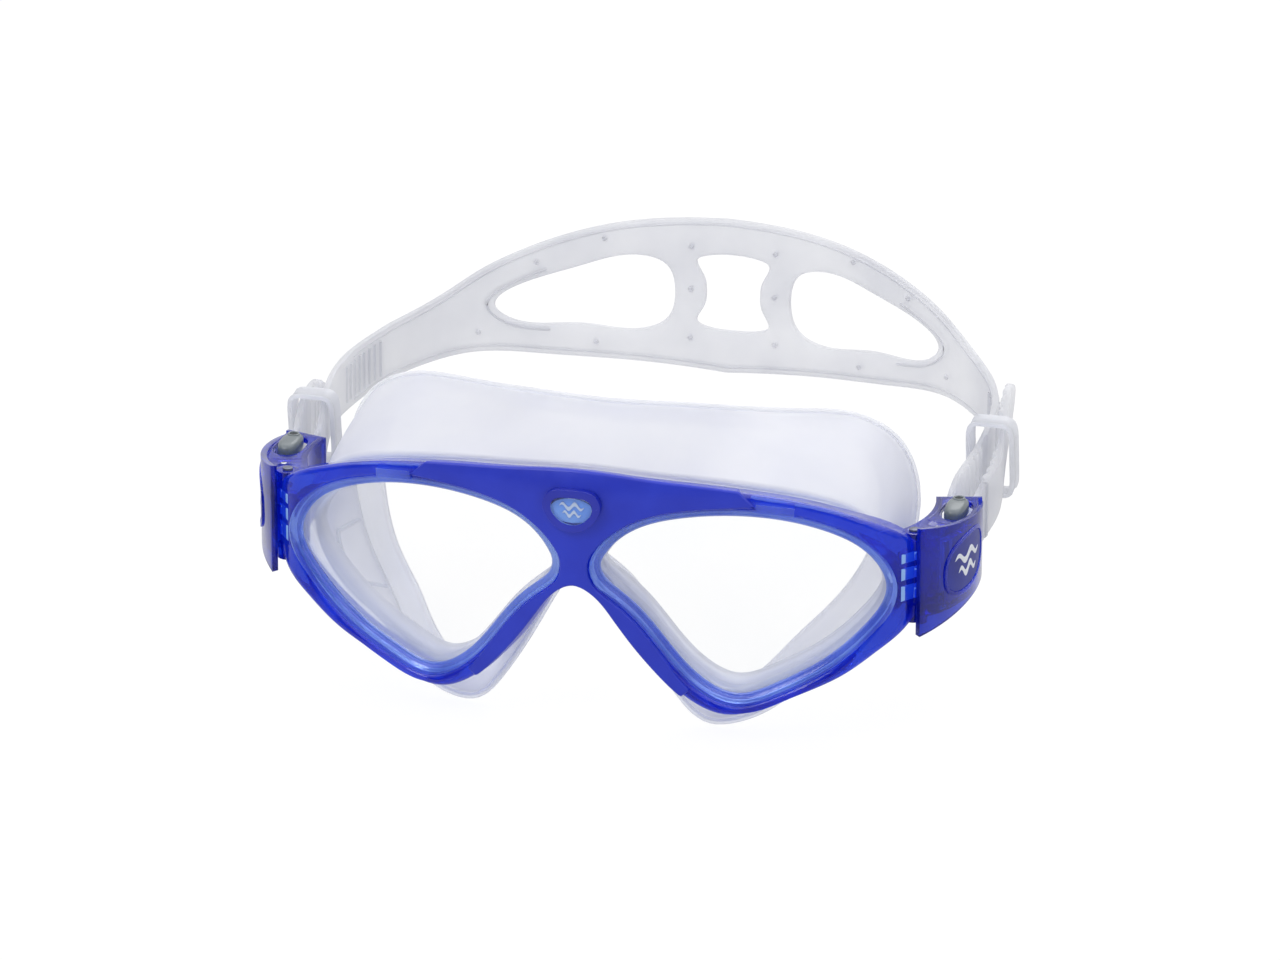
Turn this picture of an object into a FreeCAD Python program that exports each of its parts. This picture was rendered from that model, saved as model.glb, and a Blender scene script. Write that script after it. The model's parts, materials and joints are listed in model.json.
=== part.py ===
import FreeCAD, Part
import math
import os
from FreeCAD import Placement, Rotation, Vector

# Frame of the whole mask, in millimetres: X to the wearer's left, Y from the front to the back of
# the head, Z up. The origin is the centre of the badge window's flat front face, which lies on the
# plane of symmetry. Each piece is built on the +X side and mirrored for the other side.

doc = FreeCAD.newDocument("DivingMask")
sheet = doc.addObject("Spreadsheet::Sheet", "sizes")

SIZES = [
    # lens plane, and the layers stacked along its normal (w, positive towards the face)
    ("eye_sweep", 11.6), ("lens_plane_y", 4.6), ("rim_front_w", -3.4), ("rim_back_w", 6.5),
    ("ring_front_w", -2.4), ("layer_gap", 0.05), ("lens_thick", 2.6), ("lens_step", 0.6),
    ("bead_back_w", 3.9), ("collar_back_w", 7.6), ("web_thick", 1.5),
    # distances from the edge of the eye opening, measured in the lens plane
    ("lens_rim", 1.5), ("ring_rim", 2.0), ("seat_rim", 2.15), ("ledge_rim", 1.0),
    ("collar_inner", -0.8), ("collar_outer", 0.8), ("cover_edge", 2.5), ("tab_reach", 1.1),
    ("tab_long", 9.0), ("tab_gap", 0.15),
    # bridge and badge
    ("bridge_blend_x", 8.0), ("cover_thick", 1.2), ("cover_half_long", 38.0), ("leg_half_long", 27.5),
    ("badge_wide", 14.0), ("badge_tall", 10.6), ("badge_rim_wide", 1.9), ("badge_deep", 1.9),
    ("badge_clearance", 0.06), ("window_thick", 0.8), ("emblem_thick", 0.4),
    # temple hinge
    ("hinge_x", 77.3), ("hinge_y", 24.5), ("pin_radius", 1.2), ("knuckle_radius", 2.7),
    ("knuckle_top", -6.0), ("knuckle_tall", 4.4), ("knuckle_gap", 0.1), ("running_gap", 0.05),
    ("press_gap", 0.02), ("pin_overhang", 0.5), ("slot_radius", 3.1),
    # buckle: walls are arcs about one centre
    ("arc_x", 47.5), ("arc_y", 44.7), ("outer_radius", 41.0), ("wall_thick", 1.5),
    ("cavity_wide", 8.2), ("floor_top", -25.2), ("floor_thick", 1.7), ("inner_top", -8.0),
    # strap, roller and release lever
    ("strap_thick", 1.6), ("strap_shift", 1.5), ("strap_fold_radius", 2.05), ("strap_low", -24.9),
    ("strap_high", -10.7), ("spring_radius", 1.15), ("spring_wire", 0.25), ("spring_pitch", 0.56),
    ("roller_radius", 1.9), ("roller_angle", -18.5), ("lever_angle", 0.6), ("axle_radius", 0.7),
    ("lever_hub_radius", 1.7), ("lever_base", -23.4), ("head_base", -9.8), ("head_top", -4.0),
    ("head_long", 11.0), ("head_wide", 5.4), ("tooth_long", 5.2),
    # keeper on the strap
    ("keeper_left_x", 84.4), ("keeper_left_y", 78.0), ("keeper_left_low", -16.4), ("keeper_left_tall", 20.5),
    ("keeper_right_x", 83.1), ("keeper_right_y", 66.0), ("keeper_right_low", -19.8), ("keeper_right_tall", 19.0),
    ("keeper_slot", 9.4), ("keeper_long", 4.2), ("keeper_wall", 1.3),
    ("keeper_round", 1.2),
    # skirt
    ("skirt_thick", 1.6), ("skirt_gap", 0.4), ("skirt_bridge_x", 6.0),
]
for row, (alias, number) in enumerate(SIZES, start=1):
    sheet.set("A%d" % row, alias)
    sheet.set("B%d" % row, str(number))
    sheet.setAlias("B%d" % row, alias)
doc.recompute()


def size(alias):
    """Read one driving dimension from the sheet."""
    return float(sheet.get(alias))


SWEEP = math.radians(size("eye_sweep"))
SLOPE = math.tan(SWEEP)
ALONG = Vector(math.cos(SWEEP), math.sin(SWEEP), 0)     # u, along the lens plane
NORMAL = Vector(-math.sin(SWEEP), math.cos(SWEEP), 0)   # w, towards the face
UP = Vector(0, 0, 1)
LENS_ORIGIN = Vector(0, size("lens_plane_y"), 0)

# Edge of the eye opening in the lens plane: u along the plane, v up. Clockwise from the nose.
EYE_OPENING = [
    (6.2, -13.2), (14.5, -5.3), (25.0, -2.4), (37.0, -1.5), (49.0, -2.4), (60.0, -5.2),
    (69.0, -10.3), (73.4, -18.6), (68.5, -28.4), (57.5, -38.4), (47.0, -44.2), (38.3, -46.8),
    (31.5, -44.0), (21.0, -32.6), (11.5, -22.0),
]
OFFSET_SAMPLES = 40
CURVE_PIECES = 10

# Front outline of the frame, half of it: X and Z from the top centre round to the nose arch.
FRAME_TOP = [(0, 8.8), (14, 7.5), (28, 6.1), (42, 4.5), (55, 2.3), (66, -0.8), (74, -4.4), (79, -10)]
FRAME_LOW = [(79.6, -18.5), (77, -27.8), (71, -33.8), (62, -40.7), (50, -46.9), (42, -50.3), (34.8, -51.4),
             (27.5, -48.4), (19, -40.4), (9.5, -27.7), (4.2, -20.7), (0, -18.9)]

# Skirt, half of it: each station has a point on the front edge (X, Z) and on the sealing edge (X, Y, Z).
SKIRT_STATIONS = [
    ((0, 7.2), (0, 33.5, 16.0)), ((15, 5.9), (16, 35.5, 15.8)), ((30, 4.5), (31, 48, 11.6)),
    ((44, 2.7), (45, 57, 9.2)), ((57, 0.2), (57, 58, 8.4)), ((65.6, -3.6), (66, 58, 3.0)),
    ((70.2, -10.6), (70.6, 57, -8)), ((71, -19.4), (69.6, 54, -21)), ((68.4, -28), (64, 47.5, -33)),
    ((61.4, -36.4), (54, 38, -45)), ((51, -42.6), (43, 22.5, -54)), ((42, -47.0), (34.5, 18.8, -57)),
    ((34.8, -49.6), (28, 17.8, -56.6)), ((28.2, -45.8), (21, 16.6, -49)), ((19.8, -37.4), (14.5, 16.8, -38.5)),
    ((10.6, -25.2), (8, 17.2, -26.6)), ((4.2, -17.6), (3.5, 17.4, -21.4)), ((0, -15.9), (0, 17.4, -20.2)),
]

# Head strap: centre line in plan (X, Y), from the keeper side to the middle of the back.
STRAP_PLAN = [(79.6, 60.5), (81.4, 70), (82.2, 80), (81.4, 92.5), (79, 104.5), (74.2, 115.5), (67.2, 124.6),
              (58, 132.3), (45, 140.4), (27.2, 147.4), (0, 151)]
ARM_SPLIT_Y = 110.0
# Strap edges seen from the side (Y, Z) on the arms, and from the front (X, Z) on the back panel.
ARM_TOP = [(58, -6.2), (63, -4.2), (69, -2.7), (76, -1.2), (82, -0.3), (90, 0.3), (100, 0.5), (112, 1.2)]
ARM_LOW = [(112, -12.9), (100, -13.7), (90, -14.0), (76, -14.4), (69, -15.6), (63, -17.2), (58, -19.4)]
# The free ends stand differently: each has a plan line and its top and low edges seen from the side.
TAILS = {
    "left": ([(85.6, 60.5), (87.4, 67), (86.6, 78), (85.8, 93)],
             [(58, -8.2), (68, -3.4), (78, 0.6), (82, 2.6), (87, 6.4), (93.5, 10.6)],
             [(93.5, 1.6), (88, -3.4), (78, -12.2), (68, -17.4), (58, -22.6)]),
    "right": ([(85.6, 60.5), (86.4, 70), (85.6, 82)],
              [(58, -7.6), (64, -4.6), (70, -2.9), (77, -2.2), (82.5, -4.0)],
              [(82.5, -9.4), (78, -14.0), (70, -16.4), (64, -17.8), (58, -20.8)]),
}
PANEL_TOP = [(82, 1.0), (76, 1.6), (71, 3.2), (66, 5.8), (60, 9.6), (52, 13.4), (46, 15.6),
             (27, 20.3), (0, 22.4)]
PANEL_LOW = [(0, -18.6), (27, -16.2), (46, -13.8), (62, -11.4), (75, -12.7), (82, -13.2)]
SIDE_HOLE = [(15.0, 2.0), (17.2, 9.4), (24.5, 11.8), (40, 8.6), (57.4, -0.4), (54.5, -3.4), (38, -6.4),
             (23.5, -8.0), (17.2, -5.2)]
MIDDLE_HOLE = [(0, 13.0), (6.5, 12.4), (9.3, 11.2), (7.6, 6.5), (7.0, 2.8), (7.6, -1.2), (9.3, -5.4),
               (6.5, -6.8), (0, -7.3)]


# ---------------------------------------------------------------- geometry helpers

def eye_point(u, v, w):
    """A point of the lens coordinates as a point of the mask."""
    return LENS_ORIGIN + ALONG * u + NORMAL * w + UP * v


def smooth_closed(points):
    curve = Part.BSplineCurve()
    curve.interpolate(Points=points, PeriodicFlag=True)
    return curve


def in_pieces(curve):
    """A closed curve as a chain of short edges."""
    first, last = curve.FirstParameter, curve.LastParameter
    cuts = [first + (last - first) * k / CURVE_PIECES for k in range(CURVE_PIECES + 1)]
    return [curve.toShape(cuts[k], cuts[k + 1]) for k in range(CURVE_PIECES)]


def smooth_edge(points):
    curve = Part.BSplineCurve()
    curve.interpolate(points)
    return curve.toShape()


def eye_outline(offset, w):
    """The eye opening's edge moved outwards by offset, as a closed wire at depth w."""
    flat = smooth_closed([Vector(u, v, 0) for u, v in EYE_OPENING])
    first, last = flat.FirstParameter, flat.LastParameter
    points = []
    for k in range(OFFSET_SAMPLES):
        at = first + (last - first) * k / OFFSET_SAMPLES
        tangent = flat.tangent(at)[0]
        outward = Vector(-tangent.y, tangent.x, 0)
        moved = flat.value(at) + outward * offset
        points.append(eye_point(moved.x, moved.y, w))
    return Part.Wire(in_pieces(smooth_closed(points)))


def eye_prism(offset, w_front, w_back):
    """A solid with the eye outline, between two depths along the lens normal."""
    return Part.Face(eye_outline(offset, w_front)).extrude(NORMAL * (w_back - w_front))


def mirrored(shape):
    return shape.mirror(Vector(0, 0, 0), Vector(1, 0, 0))


def half_and_mirror(points):
    """Close a half outline, listed from the symmetry plane to the symmetry plane."""
    other = [(-x, z) for x, z in reversed(points[1:-1])]
    return list(points) + other


def front_prism(points, y_low, y_high):
    """A closed smooth outline given in X and Z, extruded along Y."""
    wire = Part.Wire(in_pieces(smooth_closed([Vector(x, y_low, z) for x, z in points])))
    return Part.Face(wire).extrude(Vector(0, y_high - y_low, 0))


def bar_prism(top, low, across, start, end):
    """A bar between a top and a low edge, extruded along X ('x') or Y ('y') from start to end."""
    def place(pair):
        if across == "x":
            return Vector(start, pair[0], pair[1])
        return Vector(pair[0], start, pair[1])
    top_points = [place(pair) for pair in top]
    low_points = [place(pair) for pair in low]
    edges = [smooth_edge(top_points), Part.makeLine(top_points[-1], low_points[0]),
             smooth_edge(low_points), Part.makeLine(low_points[-1], top_points[0])]
    move = Vector(end - start, 0, 0) if across == "x" else Vector(0, end - start, 0)
    return Part.Face(Part.Wire(edges)).extrude(move)


def plan_prism(edges, z_low, z_high):
    """A closed chain of plan edges at Z = 0, extruded between two heights."""
    solid = Part.Face(Part.Wire(edges)).extrude(Vector(0, 0, z_high - z_low))
    solid.translate(Vector(0, 0, z_low))
    return solid


def plane_y(x, w):
    """Y of the swept plane at depth w, where it crosses the given X."""
    return size("lens_plane_y") + w / math.cos(SWEEP) + SLOPE * x


def plan_line(w, x_end):
    """Left to right plan edges of the swept surface at depth w, rounded across the bridge."""
    bend = size("bridge_blend_x")
    left_end, left = Vector(-x_end, plane_y(x_end, w), 0), Vector(-bend, plane_y(bend, w), 0)
    right, right_end = Vector(bend, plane_y(bend, w), 0), Vector(x_end, plane_y(x_end, w), 0)
    sagitta = bend * math.tan(SWEEP / 2)
    middle = Vector(0, plane_y(bend, w) - sagitta, 0)
    return [Part.makeLine(left_end, left), Part.Arc(left, middle, right).toShape(),
            Part.makeLine(right, right_end)]


def plan_slab(w_front, w_back, x_end, z_low, z_high):
    """The swept band between two depths, cut square at X = +-x_end."""
    front = plan_line(w_front, x_end)
    back = plan_line(w_back, x_end)
    y_front, y_back = plane_y(x_end, w_front), plane_y(x_end, w_back)
    sides = [Part.makeLine(Vector(x_end, y_front, 0), Vector(x_end, y_back, 0)),
             Part.makeLine(Vector(-x_end, y_back, 0), Vector(-x_end, y_front, 0))]
    chain = Part.__sortEdges__(front + back + sides)
    return plan_prism(chain, z_low, z_high)


def cylinder(radius, x, y, z_low, z_high):
    return Part.makeCylinder(radius, z_high - z_low, Vector(x, y, z_low))


def arc_point(radius, degrees):
    """A plan point on the buckle's arcs."""
    angle = math.radians(degrees)
    return Vector(size("arc_x") + radius * math.cos(angle), size("arc_y") + radius * math.sin(angle), 0)


def arc_wall(r_inner, r_outer, a_start, a_end, z_low, z_high):
    """A curved wall between two radii and two angles of the buckle's arcs."""
    a_middle = (a_start + a_end) / 2
    edges = [Part.Arc(arc_point(r_inner, a_start), arc_point(r_inner, a_middle),
                      arc_point(r_inner, a_end)).toShape(),
             Part.makeLine(arc_point(r_inner, a_end), arc_point(r_outer, a_end)),
             Part.Arc(arc_point(r_outer, a_end), arc_point(r_outer, a_middle),
                      arc_point(r_outer, a_start)).toShape(),
             Part.makeLine(arc_point(r_outer, a_start), arc_point(r_inner, a_start))]
    return plan_prism(edges, z_low, z_high)


def polygon_prism(points, z_low, z_high):
    closed = [Vector(x, y, 0) for x, y in points + points[:1]]
    return plan_prism(Part.makePolygon(closed).Edges, z_low, z_high)


def fuse_all(shapes):
    solid = shapes[0].fuse(shapes[1:])
    return solid.removeSplitter()


def add_feature(label, shape):
    """A sub-part whose shape is set here, because its surfaces are free-form."""
    piece = doc.addObject("Part::Feature", label)
    piece.Label = label
    piece.Shape = shape
    piece.Placement = Placement(Vector(0, 0, 0), Rotation())
    return piece


def add_mirror(label, source):
    """The same piece on the other side of the symmetry plane."""
    piece = doc.addObject("Part::Mirroring", label)
    piece.Label = label
    piece.Source = source
    piece.Base = Vector(0, 0, 0)
    piece.Normal = Vector(1, 0, 0)
    return piece


def bind(piece, **formulas):
    """Bind properties to sheet cells; a double underscore in the name stands for a dot."""
    for name, formula in formulas.items():
        piece.setExpression(name.replace("__", "."), formula)
    return piece


# ---------------------------------------------------------------- lenses and their rings

def lens_shape():
    plate = eye_prism(size("lens_rim"), 0, size("lens_thick"))
    raised = eye_prism(-0.3, -size("lens_step"), 0)
    return fuse_all([plate, raised])


TAB_PLACES = [(44.5, -2.0, 4.0), (34.5, -46.3, 58.0), (73.2, -21.5, 96.0), (16.5, -28.2, 48.0)]


def tabs(grow, w_front, w_back):
    """Snap tabs that reach outwards from the ring; grown, they cut the frame's notches."""
    blocks = []
    half = size("tab_long") / 2 + grow
    reach = size("ring_rim") + size("tab_reach") + grow
    for u, v, degrees in TAB_PLACES:
        turn = math.radians(degrees)
        side = Vector(math.cos(turn), math.sin(turn), 0)
        out = Vector(-side.y, side.x, 0)
        if out.dot(Vector(u - 40.0, v + 22.0, 0)) < 0:
            out = out * -1
        middle = Vector(u, v, 0)
        corners = [middle + side * half + out * 1.2, middle + side * half + out * reach,
                   middle - side * half + out * reach, middle - side * half + out * 1.2]
        loop = [eye_point(c.x, c.y, w_front) for c in corners + corners[:1]]
        blocks.append(Part.Face(Part.makePolygon(loop)).extrude(NORMAL * (w_back - w_front)))
    return blocks


def retaining_ring_shape():
    front, back = size("ring_front_w"), -size("layer_gap")
    ring = eye_prism(size("ring_rim"), front, back)
    ring = fuse_all([ring] + tabs(0, front + 0.5, back - 0.4))
    return ring.cut(eye_prism(0, front - 1, back + 1))


# ---------------------------------------------------------------- frame

def knuckle_span(index):
    """Low and high Z of one of the five hinge knuckles, counted from the top."""
    top = size("knuckle_top") - index * (size("knuckle_tall") + size("knuckle_gap"))
    return top - size("knuckle_tall"), top


BUCKLE_KNUCKLES = (0, 2, 4)
FRAME_KNUCKLES = (1, 3)


def frame_end():
    """The frame's temple end in plan, reaching from the lens rim to the hinge."""
    hinge_x, hinge_y = size("hinge_x"), size("hinge_y")
    y_front, y_back = plane_y(66, size("rim_front_w")), plane_y(66, size("rim_back_w"))
    corners = [(66, y_front), (71, plane_y(71, size("rim_front_w")) + 0.2), (75.2, 18.4), (77.6, 21.0),
               (78.4, hinge_y), (74.2, hinge_y), (73.4, y_back + 0.6), (66, y_back)]
    low, high = -40.0, 6.0
    return polygon_prism(corners, low, high)


def frame_shape():
    outline = front_prism(half_and_mirror(FRAME_TOP + FRAME_LOW), -5, 60)
    band = plan_slab(size("rim_front_w"), size("rim_back_w"), 70, -60, 20)
    end = frame_end()
    solid = fuse_all([band, end, mirrored(end)]).common(outline)
    hinge_x, hinge_y = size("hinge_x"), size("hinge_y")
    knuckles = [cylinder(size("knuckle_radius"), hinge_x, hinge_y, *knuckle_span(k)) for k in FRAME_KNUCKLES]
    solid = solid.fuse(knuckles + [mirrored(k) for k in knuckles])
    cutters = [eye_prism(size("seat_rim"), size("rim_front_w") - 4, size("bead_back_w") + 0.05),
               eye_prism(size("ledge_rim"), size("bead_back_w"), size("rim_back_w") + 4)]
    cutters += tabs(size("tab_gap"), size("rim_front_w") - 2, -size("layer_gap"))
    gap = size("knuckle_gap")
    for k in BUCKLE_KNUCKLES:
        low, high = knuckle_span(k)
        cutters.append(cylinder(size("slot_radius"), hinge_x, hinge_y, low - gap, high + gap))
    cutters.append(cylinder(size("pin_radius") + size("press_gap"), hinge_x, hinge_y, -40, 5))
    top_of_hinge = knuckle_span(0)[1]
    base_of_hinge = knuckle_span(4)[0]
    cutters.append(cylinder(size("slot_radius") + 1.6, hinge_x, hinge_y, top_of_hinge, 10))
    cutters.append(cylinder(size("slot_radius") + 1.6, hinge_x, hinge_y, -45, base_of_hinge))
    return solid.cut(cutters + [mirrored(c) for c in cutters]).removeSplitter()


# ---------------------------------------------------------------- bridge cover and badge

BADGE_HALF = [(0, 0.5), (0.24, 0.49), (0.43, 0.38), (0.5, 0.12), (0.42, -0.17), (0.24, -0.41), (0, -0.5)]


def badge_prism(inset, y_front, y_back):
    """The rounded shield outline of the badge, drawn in by inset."""
    wide, tall = size("badge_wide") - 2 * inset, size("badge_tall") - 2 * inset
    return front_prism(half_and_mirror([(x * wide, z * tall) for x, z in BADGE_HALF]), y_front, y_back)


def cover_shape():
    """The soft-feel layer on the front of the bridge, with a leg down each side of the nose."""
    thick, gap = size("cover_thick"), size("layer_gap")
    front_w = size("rim_front_w")
    outline = front_prism(half_and_mirror(FRAME_TOP + FRAME_LOW), -5, 60)
    arms = plan_slab(front_w - thick, front_w - gap, size("cover_half_long"), -16, 20)
    legs = plan_slab(front_w - thick, front_w - gap, size("leg_half_long"), -60, -15)
    solid = fuse_all([arms, legs]).common(outline)
    eye = eye_prism(size("cover_edge"), front_w - 6, front_w + 6)
    solid = solid.cut([eye, mirrored(eye), badge_prism(-size("badge_clearance"), -3, 8)])
    return max(solid.Solids, key=lambda piece: piece.Volume)


def badge_rim_shape():
    outer = badge_prism(0, 0, size("badge_deep"))
    return outer.cut(badge_prism(size("badge_rim_wide"), -1, size("badge_deep") + 1))


def badge_window_shape():
    return badge_prism(size("badge_rim_wide") + size("badge_clearance"), 0, size("window_thick"))


def badge_emblem_shape():
    front = size("window_thick") + size("layer_gap")
    return badge_prism(size("badge_rim_wide") + 0.5, front, front + size("emblem_thick"))


# ---------------------------------------------------------------- skirt

def wall_inside(front, seal, thick):
    """The inner edges of a wall that runs from the front loop to the seal loop, square to its faces."""
    inner_front, inner_seal = [], []
    count = len(front)
    for k in range(count):
        around = (front[(k + 1) % count] - front[k - 1]) + (seal[(k + 1) % count] - seal[k - 1])
        inward = (seal[k] - front[k]).cross(around)
        inward.normalize()
        inner_front.append(front[k] + inward * thick)
        inner_seal.append(seal[k] + inward * thick)
    return inner_front, inner_seal


def in_step(points, steps):
    """A smooth closed curve that passes its points at the given steps, so that two such curves run level."""
    curve = Part.BSplineCurve()
    curve.interpolate(Points=points, PeriodicFlag=True, Parameters=steps)
    return curve


def skirt_loop(points):
    return points + [Vector(-p.x, p.y, p.z) for p in reversed(points[1:-1])]


def skirt_shape():
    front_w = size("rim_back_w") + size("skirt_gap")
    thick = size("skirt_thick")
    bridge = size("skirt_bridge_x")
    front = skirt_loop([Vector(x, plane_y(max(x, bridge), front_w), z) for (x, z), seal in SKIRT_STATIONS])
    seal = skirt_loop([Vector(*seal) for edge, seal in SKIRT_STATIONS])
    inner_front, inner_seal = wall_inside(front, seal, thick)
    loops = [front, seal, inner_seal, inner_front]
    steps = [0.0]
    for k, point in enumerate(front):
        after = (k + 1) % len(front)
        steps.append(steps[-1] + 0.5 * ((front[after] - point).Length + (seal[after] - seal[k]).Length))
    chains = [in_pieces(in_step(loop, steps)) for loop in loops]
    faces = [Part.makeRuledSurface(near, far) for k in range(4)
             for near, far in zip(chains[k], chains[(k + 1) % 4])]
    wall = Part.Solid(Part.Shell(Part.Compound(faces).Faces))
    if wall.Volume < 0:
        wall.reverse()
    outline = [(0.5 * (p.x + q.x), 0.5 * (p.z + q.z)) for p, q in zip(front, inner_front)]
    web = plan_slab(front_w, front_w + size("web_thick"), 74, -60, 20)
    web = web.common(front_prism(outline, -5, 60))
    bead = eye_prism(size("ring_rim"), size("lens_thick") + size("layer_gap"), size("bead_back_w"))
    tube = eye_prism(size("collar_outer"), size("bead_back_w") - 0.5, size("collar_back_w"))
    collar = bead.fuse(tube)
    bore = eye_prism(size("collar_inner"), -1, size("collar_back_w") + 3)
    solid = web.fuse([collar, mirrored(collar), wall])
    return solid.cut([bore, mirrored(bore)]).removeSplitter()


# ---------------------------------------------------------------- buckle

def buckle_shape():
    outer, wall = size("outer_radius"), size("wall_thick")
    cavity_outer = outer - wall
    cavity_inner = cavity_outer - size("cavity_wide")
    inner = cavity_inner - wall
    floor_top, inner_top = size("floor_top"), size("inner_top")
    floor_low = floor_top - size("floor_thick")
    shield = arc_wall(cavity_outer, outer, -37.5, 15.5, -33, 0)
    side_outline = bar_prism([(15, -2.4), (24, -4.6), (40, -7.0), (57.5, -9.4)],
                             [(57.5, floor_low), (44, floor_low), (28, -29.3), (15, -32.0)], "x", 60, 95)
    shield = shield.common(side_outline)
    pieces = [shield,
              arc_wall(inner, cavity_inner, -26, 15.5, floor_low, inner_top),
              arc_wall(inner, outer - 0.2, -26, 15.5, floor_low, floor_top),
              arc_wall(inner, outer - 0.2, -27.5, -25, floor_low, inner_top),
              arc_wall(inner, outer - 0.2, -27.5, -13.6, inner_top - 1.6, inner_top),
              arc_wall(inner, outer - 0.2, 14.3, 15.5, inner_top - 1.8, inner_top)]
    hinge_x, hinge_y = size("hinge_x"), size("hinge_y")
    front_inner, front_outer = arc_point(inner, -26), arc_point(cavity_outer + 0.3, -26)
    for k in BUCKLE_KNUCKLES:
        low, high = knuckle_span(k)
        pieces.append(cylinder(size("knuckle_radius"), hinge_x, hinge_y, low, high))
        web = [(hinge_x - 2.3, hinge_y + 1.2), (hinge_x + 1.2, hinge_y - 2.2), (front_outer.x, front_outer.y),
               (front_inner.x, front_inner.y)]
        pieces.append(polygon_prism(web, max(low, floor_low), min(high, inner_top)))
    solid = fuse_all(pieces)
    roller, lever = arc_point(mid_radius(), size("roller_angle")), arc_point(mid_radius(), size("lever_angle"))
    run = size("running_gap")
    cuts = [cylinder(size("pin_radius") + run, hinge_x, hinge_y, -40, 5),
            cylinder(size("axle_radius") + run, roller.x, roller.y, -40, 5),
            cylinder(size("axle_radius") + size("press_gap"), lever.x, lever.y, -40, floor_top + 1)]
    for k in FRAME_KNUCKLES:
        low, high = knuckle_span(k)
        gap = size("knuckle_gap")
        cuts.append(cylinder(size("slot_radius"), hinge_x, hinge_y, low - gap, high + gap))
    return solid.cut(cuts).removeSplitter()


def mid_radius():
    """Radius of the line midway between the buckle's two walls."""
    return size("outer_radius") - size("wall_thick") - size("cavity_wide") / 2


def strap_loop_shape():
    """The strap's ribbed end inside the buckle: in along one wall, round the roller, out along the other."""
    middle, fold, thick = mid_radius(), size("strap_fold_radius"), size("strap_thick")
    low, high = size("strap_low"), size("strap_high")
    start, end = size("roller_angle"), 24.2
    layers = [arc_wall(middle + fold, middle + fold + thick, start, end - 2.6, low, high),
              arc_wall(middle - fold - thick, middle - fold, start, end + 2.4, low, high)]
    roller = arc_point(middle, start)
    bend = cylinder(fold + thick, roller.x, roller.y, low, high).cut(
        cylinder(fold, roller.x, roller.y, low - 1, high + 1))
    beyond = arc_wall(middle - 8, middle + 8, start, start + 20, low - 1, high + 1)
    bend = bend.cut(beyond)
    return fuse_all(layers + [bend])


# ---------------------------------------------------------------- build the shaped pieces

for name, maker in (("lens", lens_shape), ("retaining_ring", retaining_ring_shape),
                    ("buckle", buckle_shape), ("strap_loop", strap_loop_shape)):
    left = add_feature(name + "_left", maker())
    add_mirror(name + "_right", left)
add_feature("frame", frame_shape())
add_feature("bridge_cover", cover_shape())
add_feature("badge_rim", badge_rim_shape())
add_feature("badge_window", badge_window_shape())
add_feature("badge_emblem", badge_emblem_shape())
add_feature("skirt", skirt_shape())


# ---------------------------------------------------------------- head strap

def plan_band(points, thick):
    """A band of the given thickness about a plan curve, as a face at Z = 0."""
    centre = Part.BSplineCurve()
    centre.interpolate([Vector(x, y, 0) for x, y in points])
    first, last = centre.FirstParameter, centre.LastParameter
    sides = []
    samples = 4 * len(points)
    for sign in (1, -1):
        side = []
        for k in range(samples + 1):
            at = first + (last - first) * k / samples
            tangent = centre.tangent(at)[0]
            side.append(centre.value(at) + Vector(-tangent.y, tangent.x, 0) * (sign * thick / 2))
        sides.append(side)
    near, far = sides
    edges = [smooth_edge(near), Part.makeLine(near[-1], far[-1]), smooth_edge(far),
             Part.makeLine(far[0], near[0])]
    return Part.Face(Part.Wire(Part.__sortEdges__(edges)))


def tall_band(points, thick):
    band = plan_band(points, thick).extrude(Vector(0, 0, 60))
    band.translate(Vector(0, 0, -30))
    return band


def head_strap_shape():
    """The one-piece strap: two arms and a back panel with three openings."""
    other = [(-x, y) for x, y in reversed(STRAP_PLAN[:-1])]
    band = tall_band(STRAP_PLAN + other, size("strap_thick"))
    arm = bar_prism(ARM_TOP, ARM_LOW, "x", -100, 100)
    arms = band.common([arm]).common(Part.makeBox(240, ARM_SPLIT_Y - 40, 80, Vector(-120, 40, -40)))
    top = PANEL_TOP + [(-x, z) for x, z in reversed(PANEL_TOP[:-1])]
    low = [(-x, z) for x, z in reversed(PANEL_LOW[1:])] + PANEL_LOW
    panel = bar_prism(top, low, "y", ARM_SPLIT_Y, 160)
    panel = band.common(panel)
    side_hole = front_prism(SIDE_HOLE, 100, 170)
    holes = [side_hole, mirrored(side_hole), front_prism(half_and_mirror(MIDDLE_HOLE), 100, 170)]
    for hole in holes:
        hole.translate(Vector(size("strap_shift"), 0, 0))
    panel = panel.cut(holes)
    return fuse_all([panel, arms])


def strap_tail_shape(side):
    """The strap's free end, which comes out of the buckle and through the keeper."""
    plan, top, low = TAILS[side]
    return tall_band(plan, size("strap_thick")).common(bar_prism(top, low, "x", 60, 110))


add_feature("head_strap", head_strap_shape())
add_feature("strap_tail_left", strap_tail_shape("left"))
add_feature("strap_tail_right", mirrored(strap_tail_shape("right")))


# ---------------------------------------------------------------- pins, rollers and levers

def bound_cylinder(label, radius, x, y, low, high):
    """A Part cylinder whose radius, height and place are formulas of the sheet."""
    piece = doc.addObject("Part::Cylinder", label)
    piece.Label = label
    return bind(piece, Radius=radius, Height="(%s) - (%s)" % (high, low), Placement__Base__x=x,
                Placement__Base__y=y, Placement__Base__z=low)


def bound_box(label, centre_x, centre_y, long_x, long_y, low, high):
    """A Part box centred in plan on a point, between two heights."""
    piece = doc.addObject("Part::Box", label)
    piece.Label = label
    return bind(piece, Length=long_x, Width=long_y, Height="(%s) - (%s)" % (high, low),
                Placement__Base__x="(%s) - (%s) / 2" % (centre_x, long_x),
                Placement__Base__y="(%s) - (%s) / 2" % (centre_y, long_y), Placement__Base__z=low)


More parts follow.
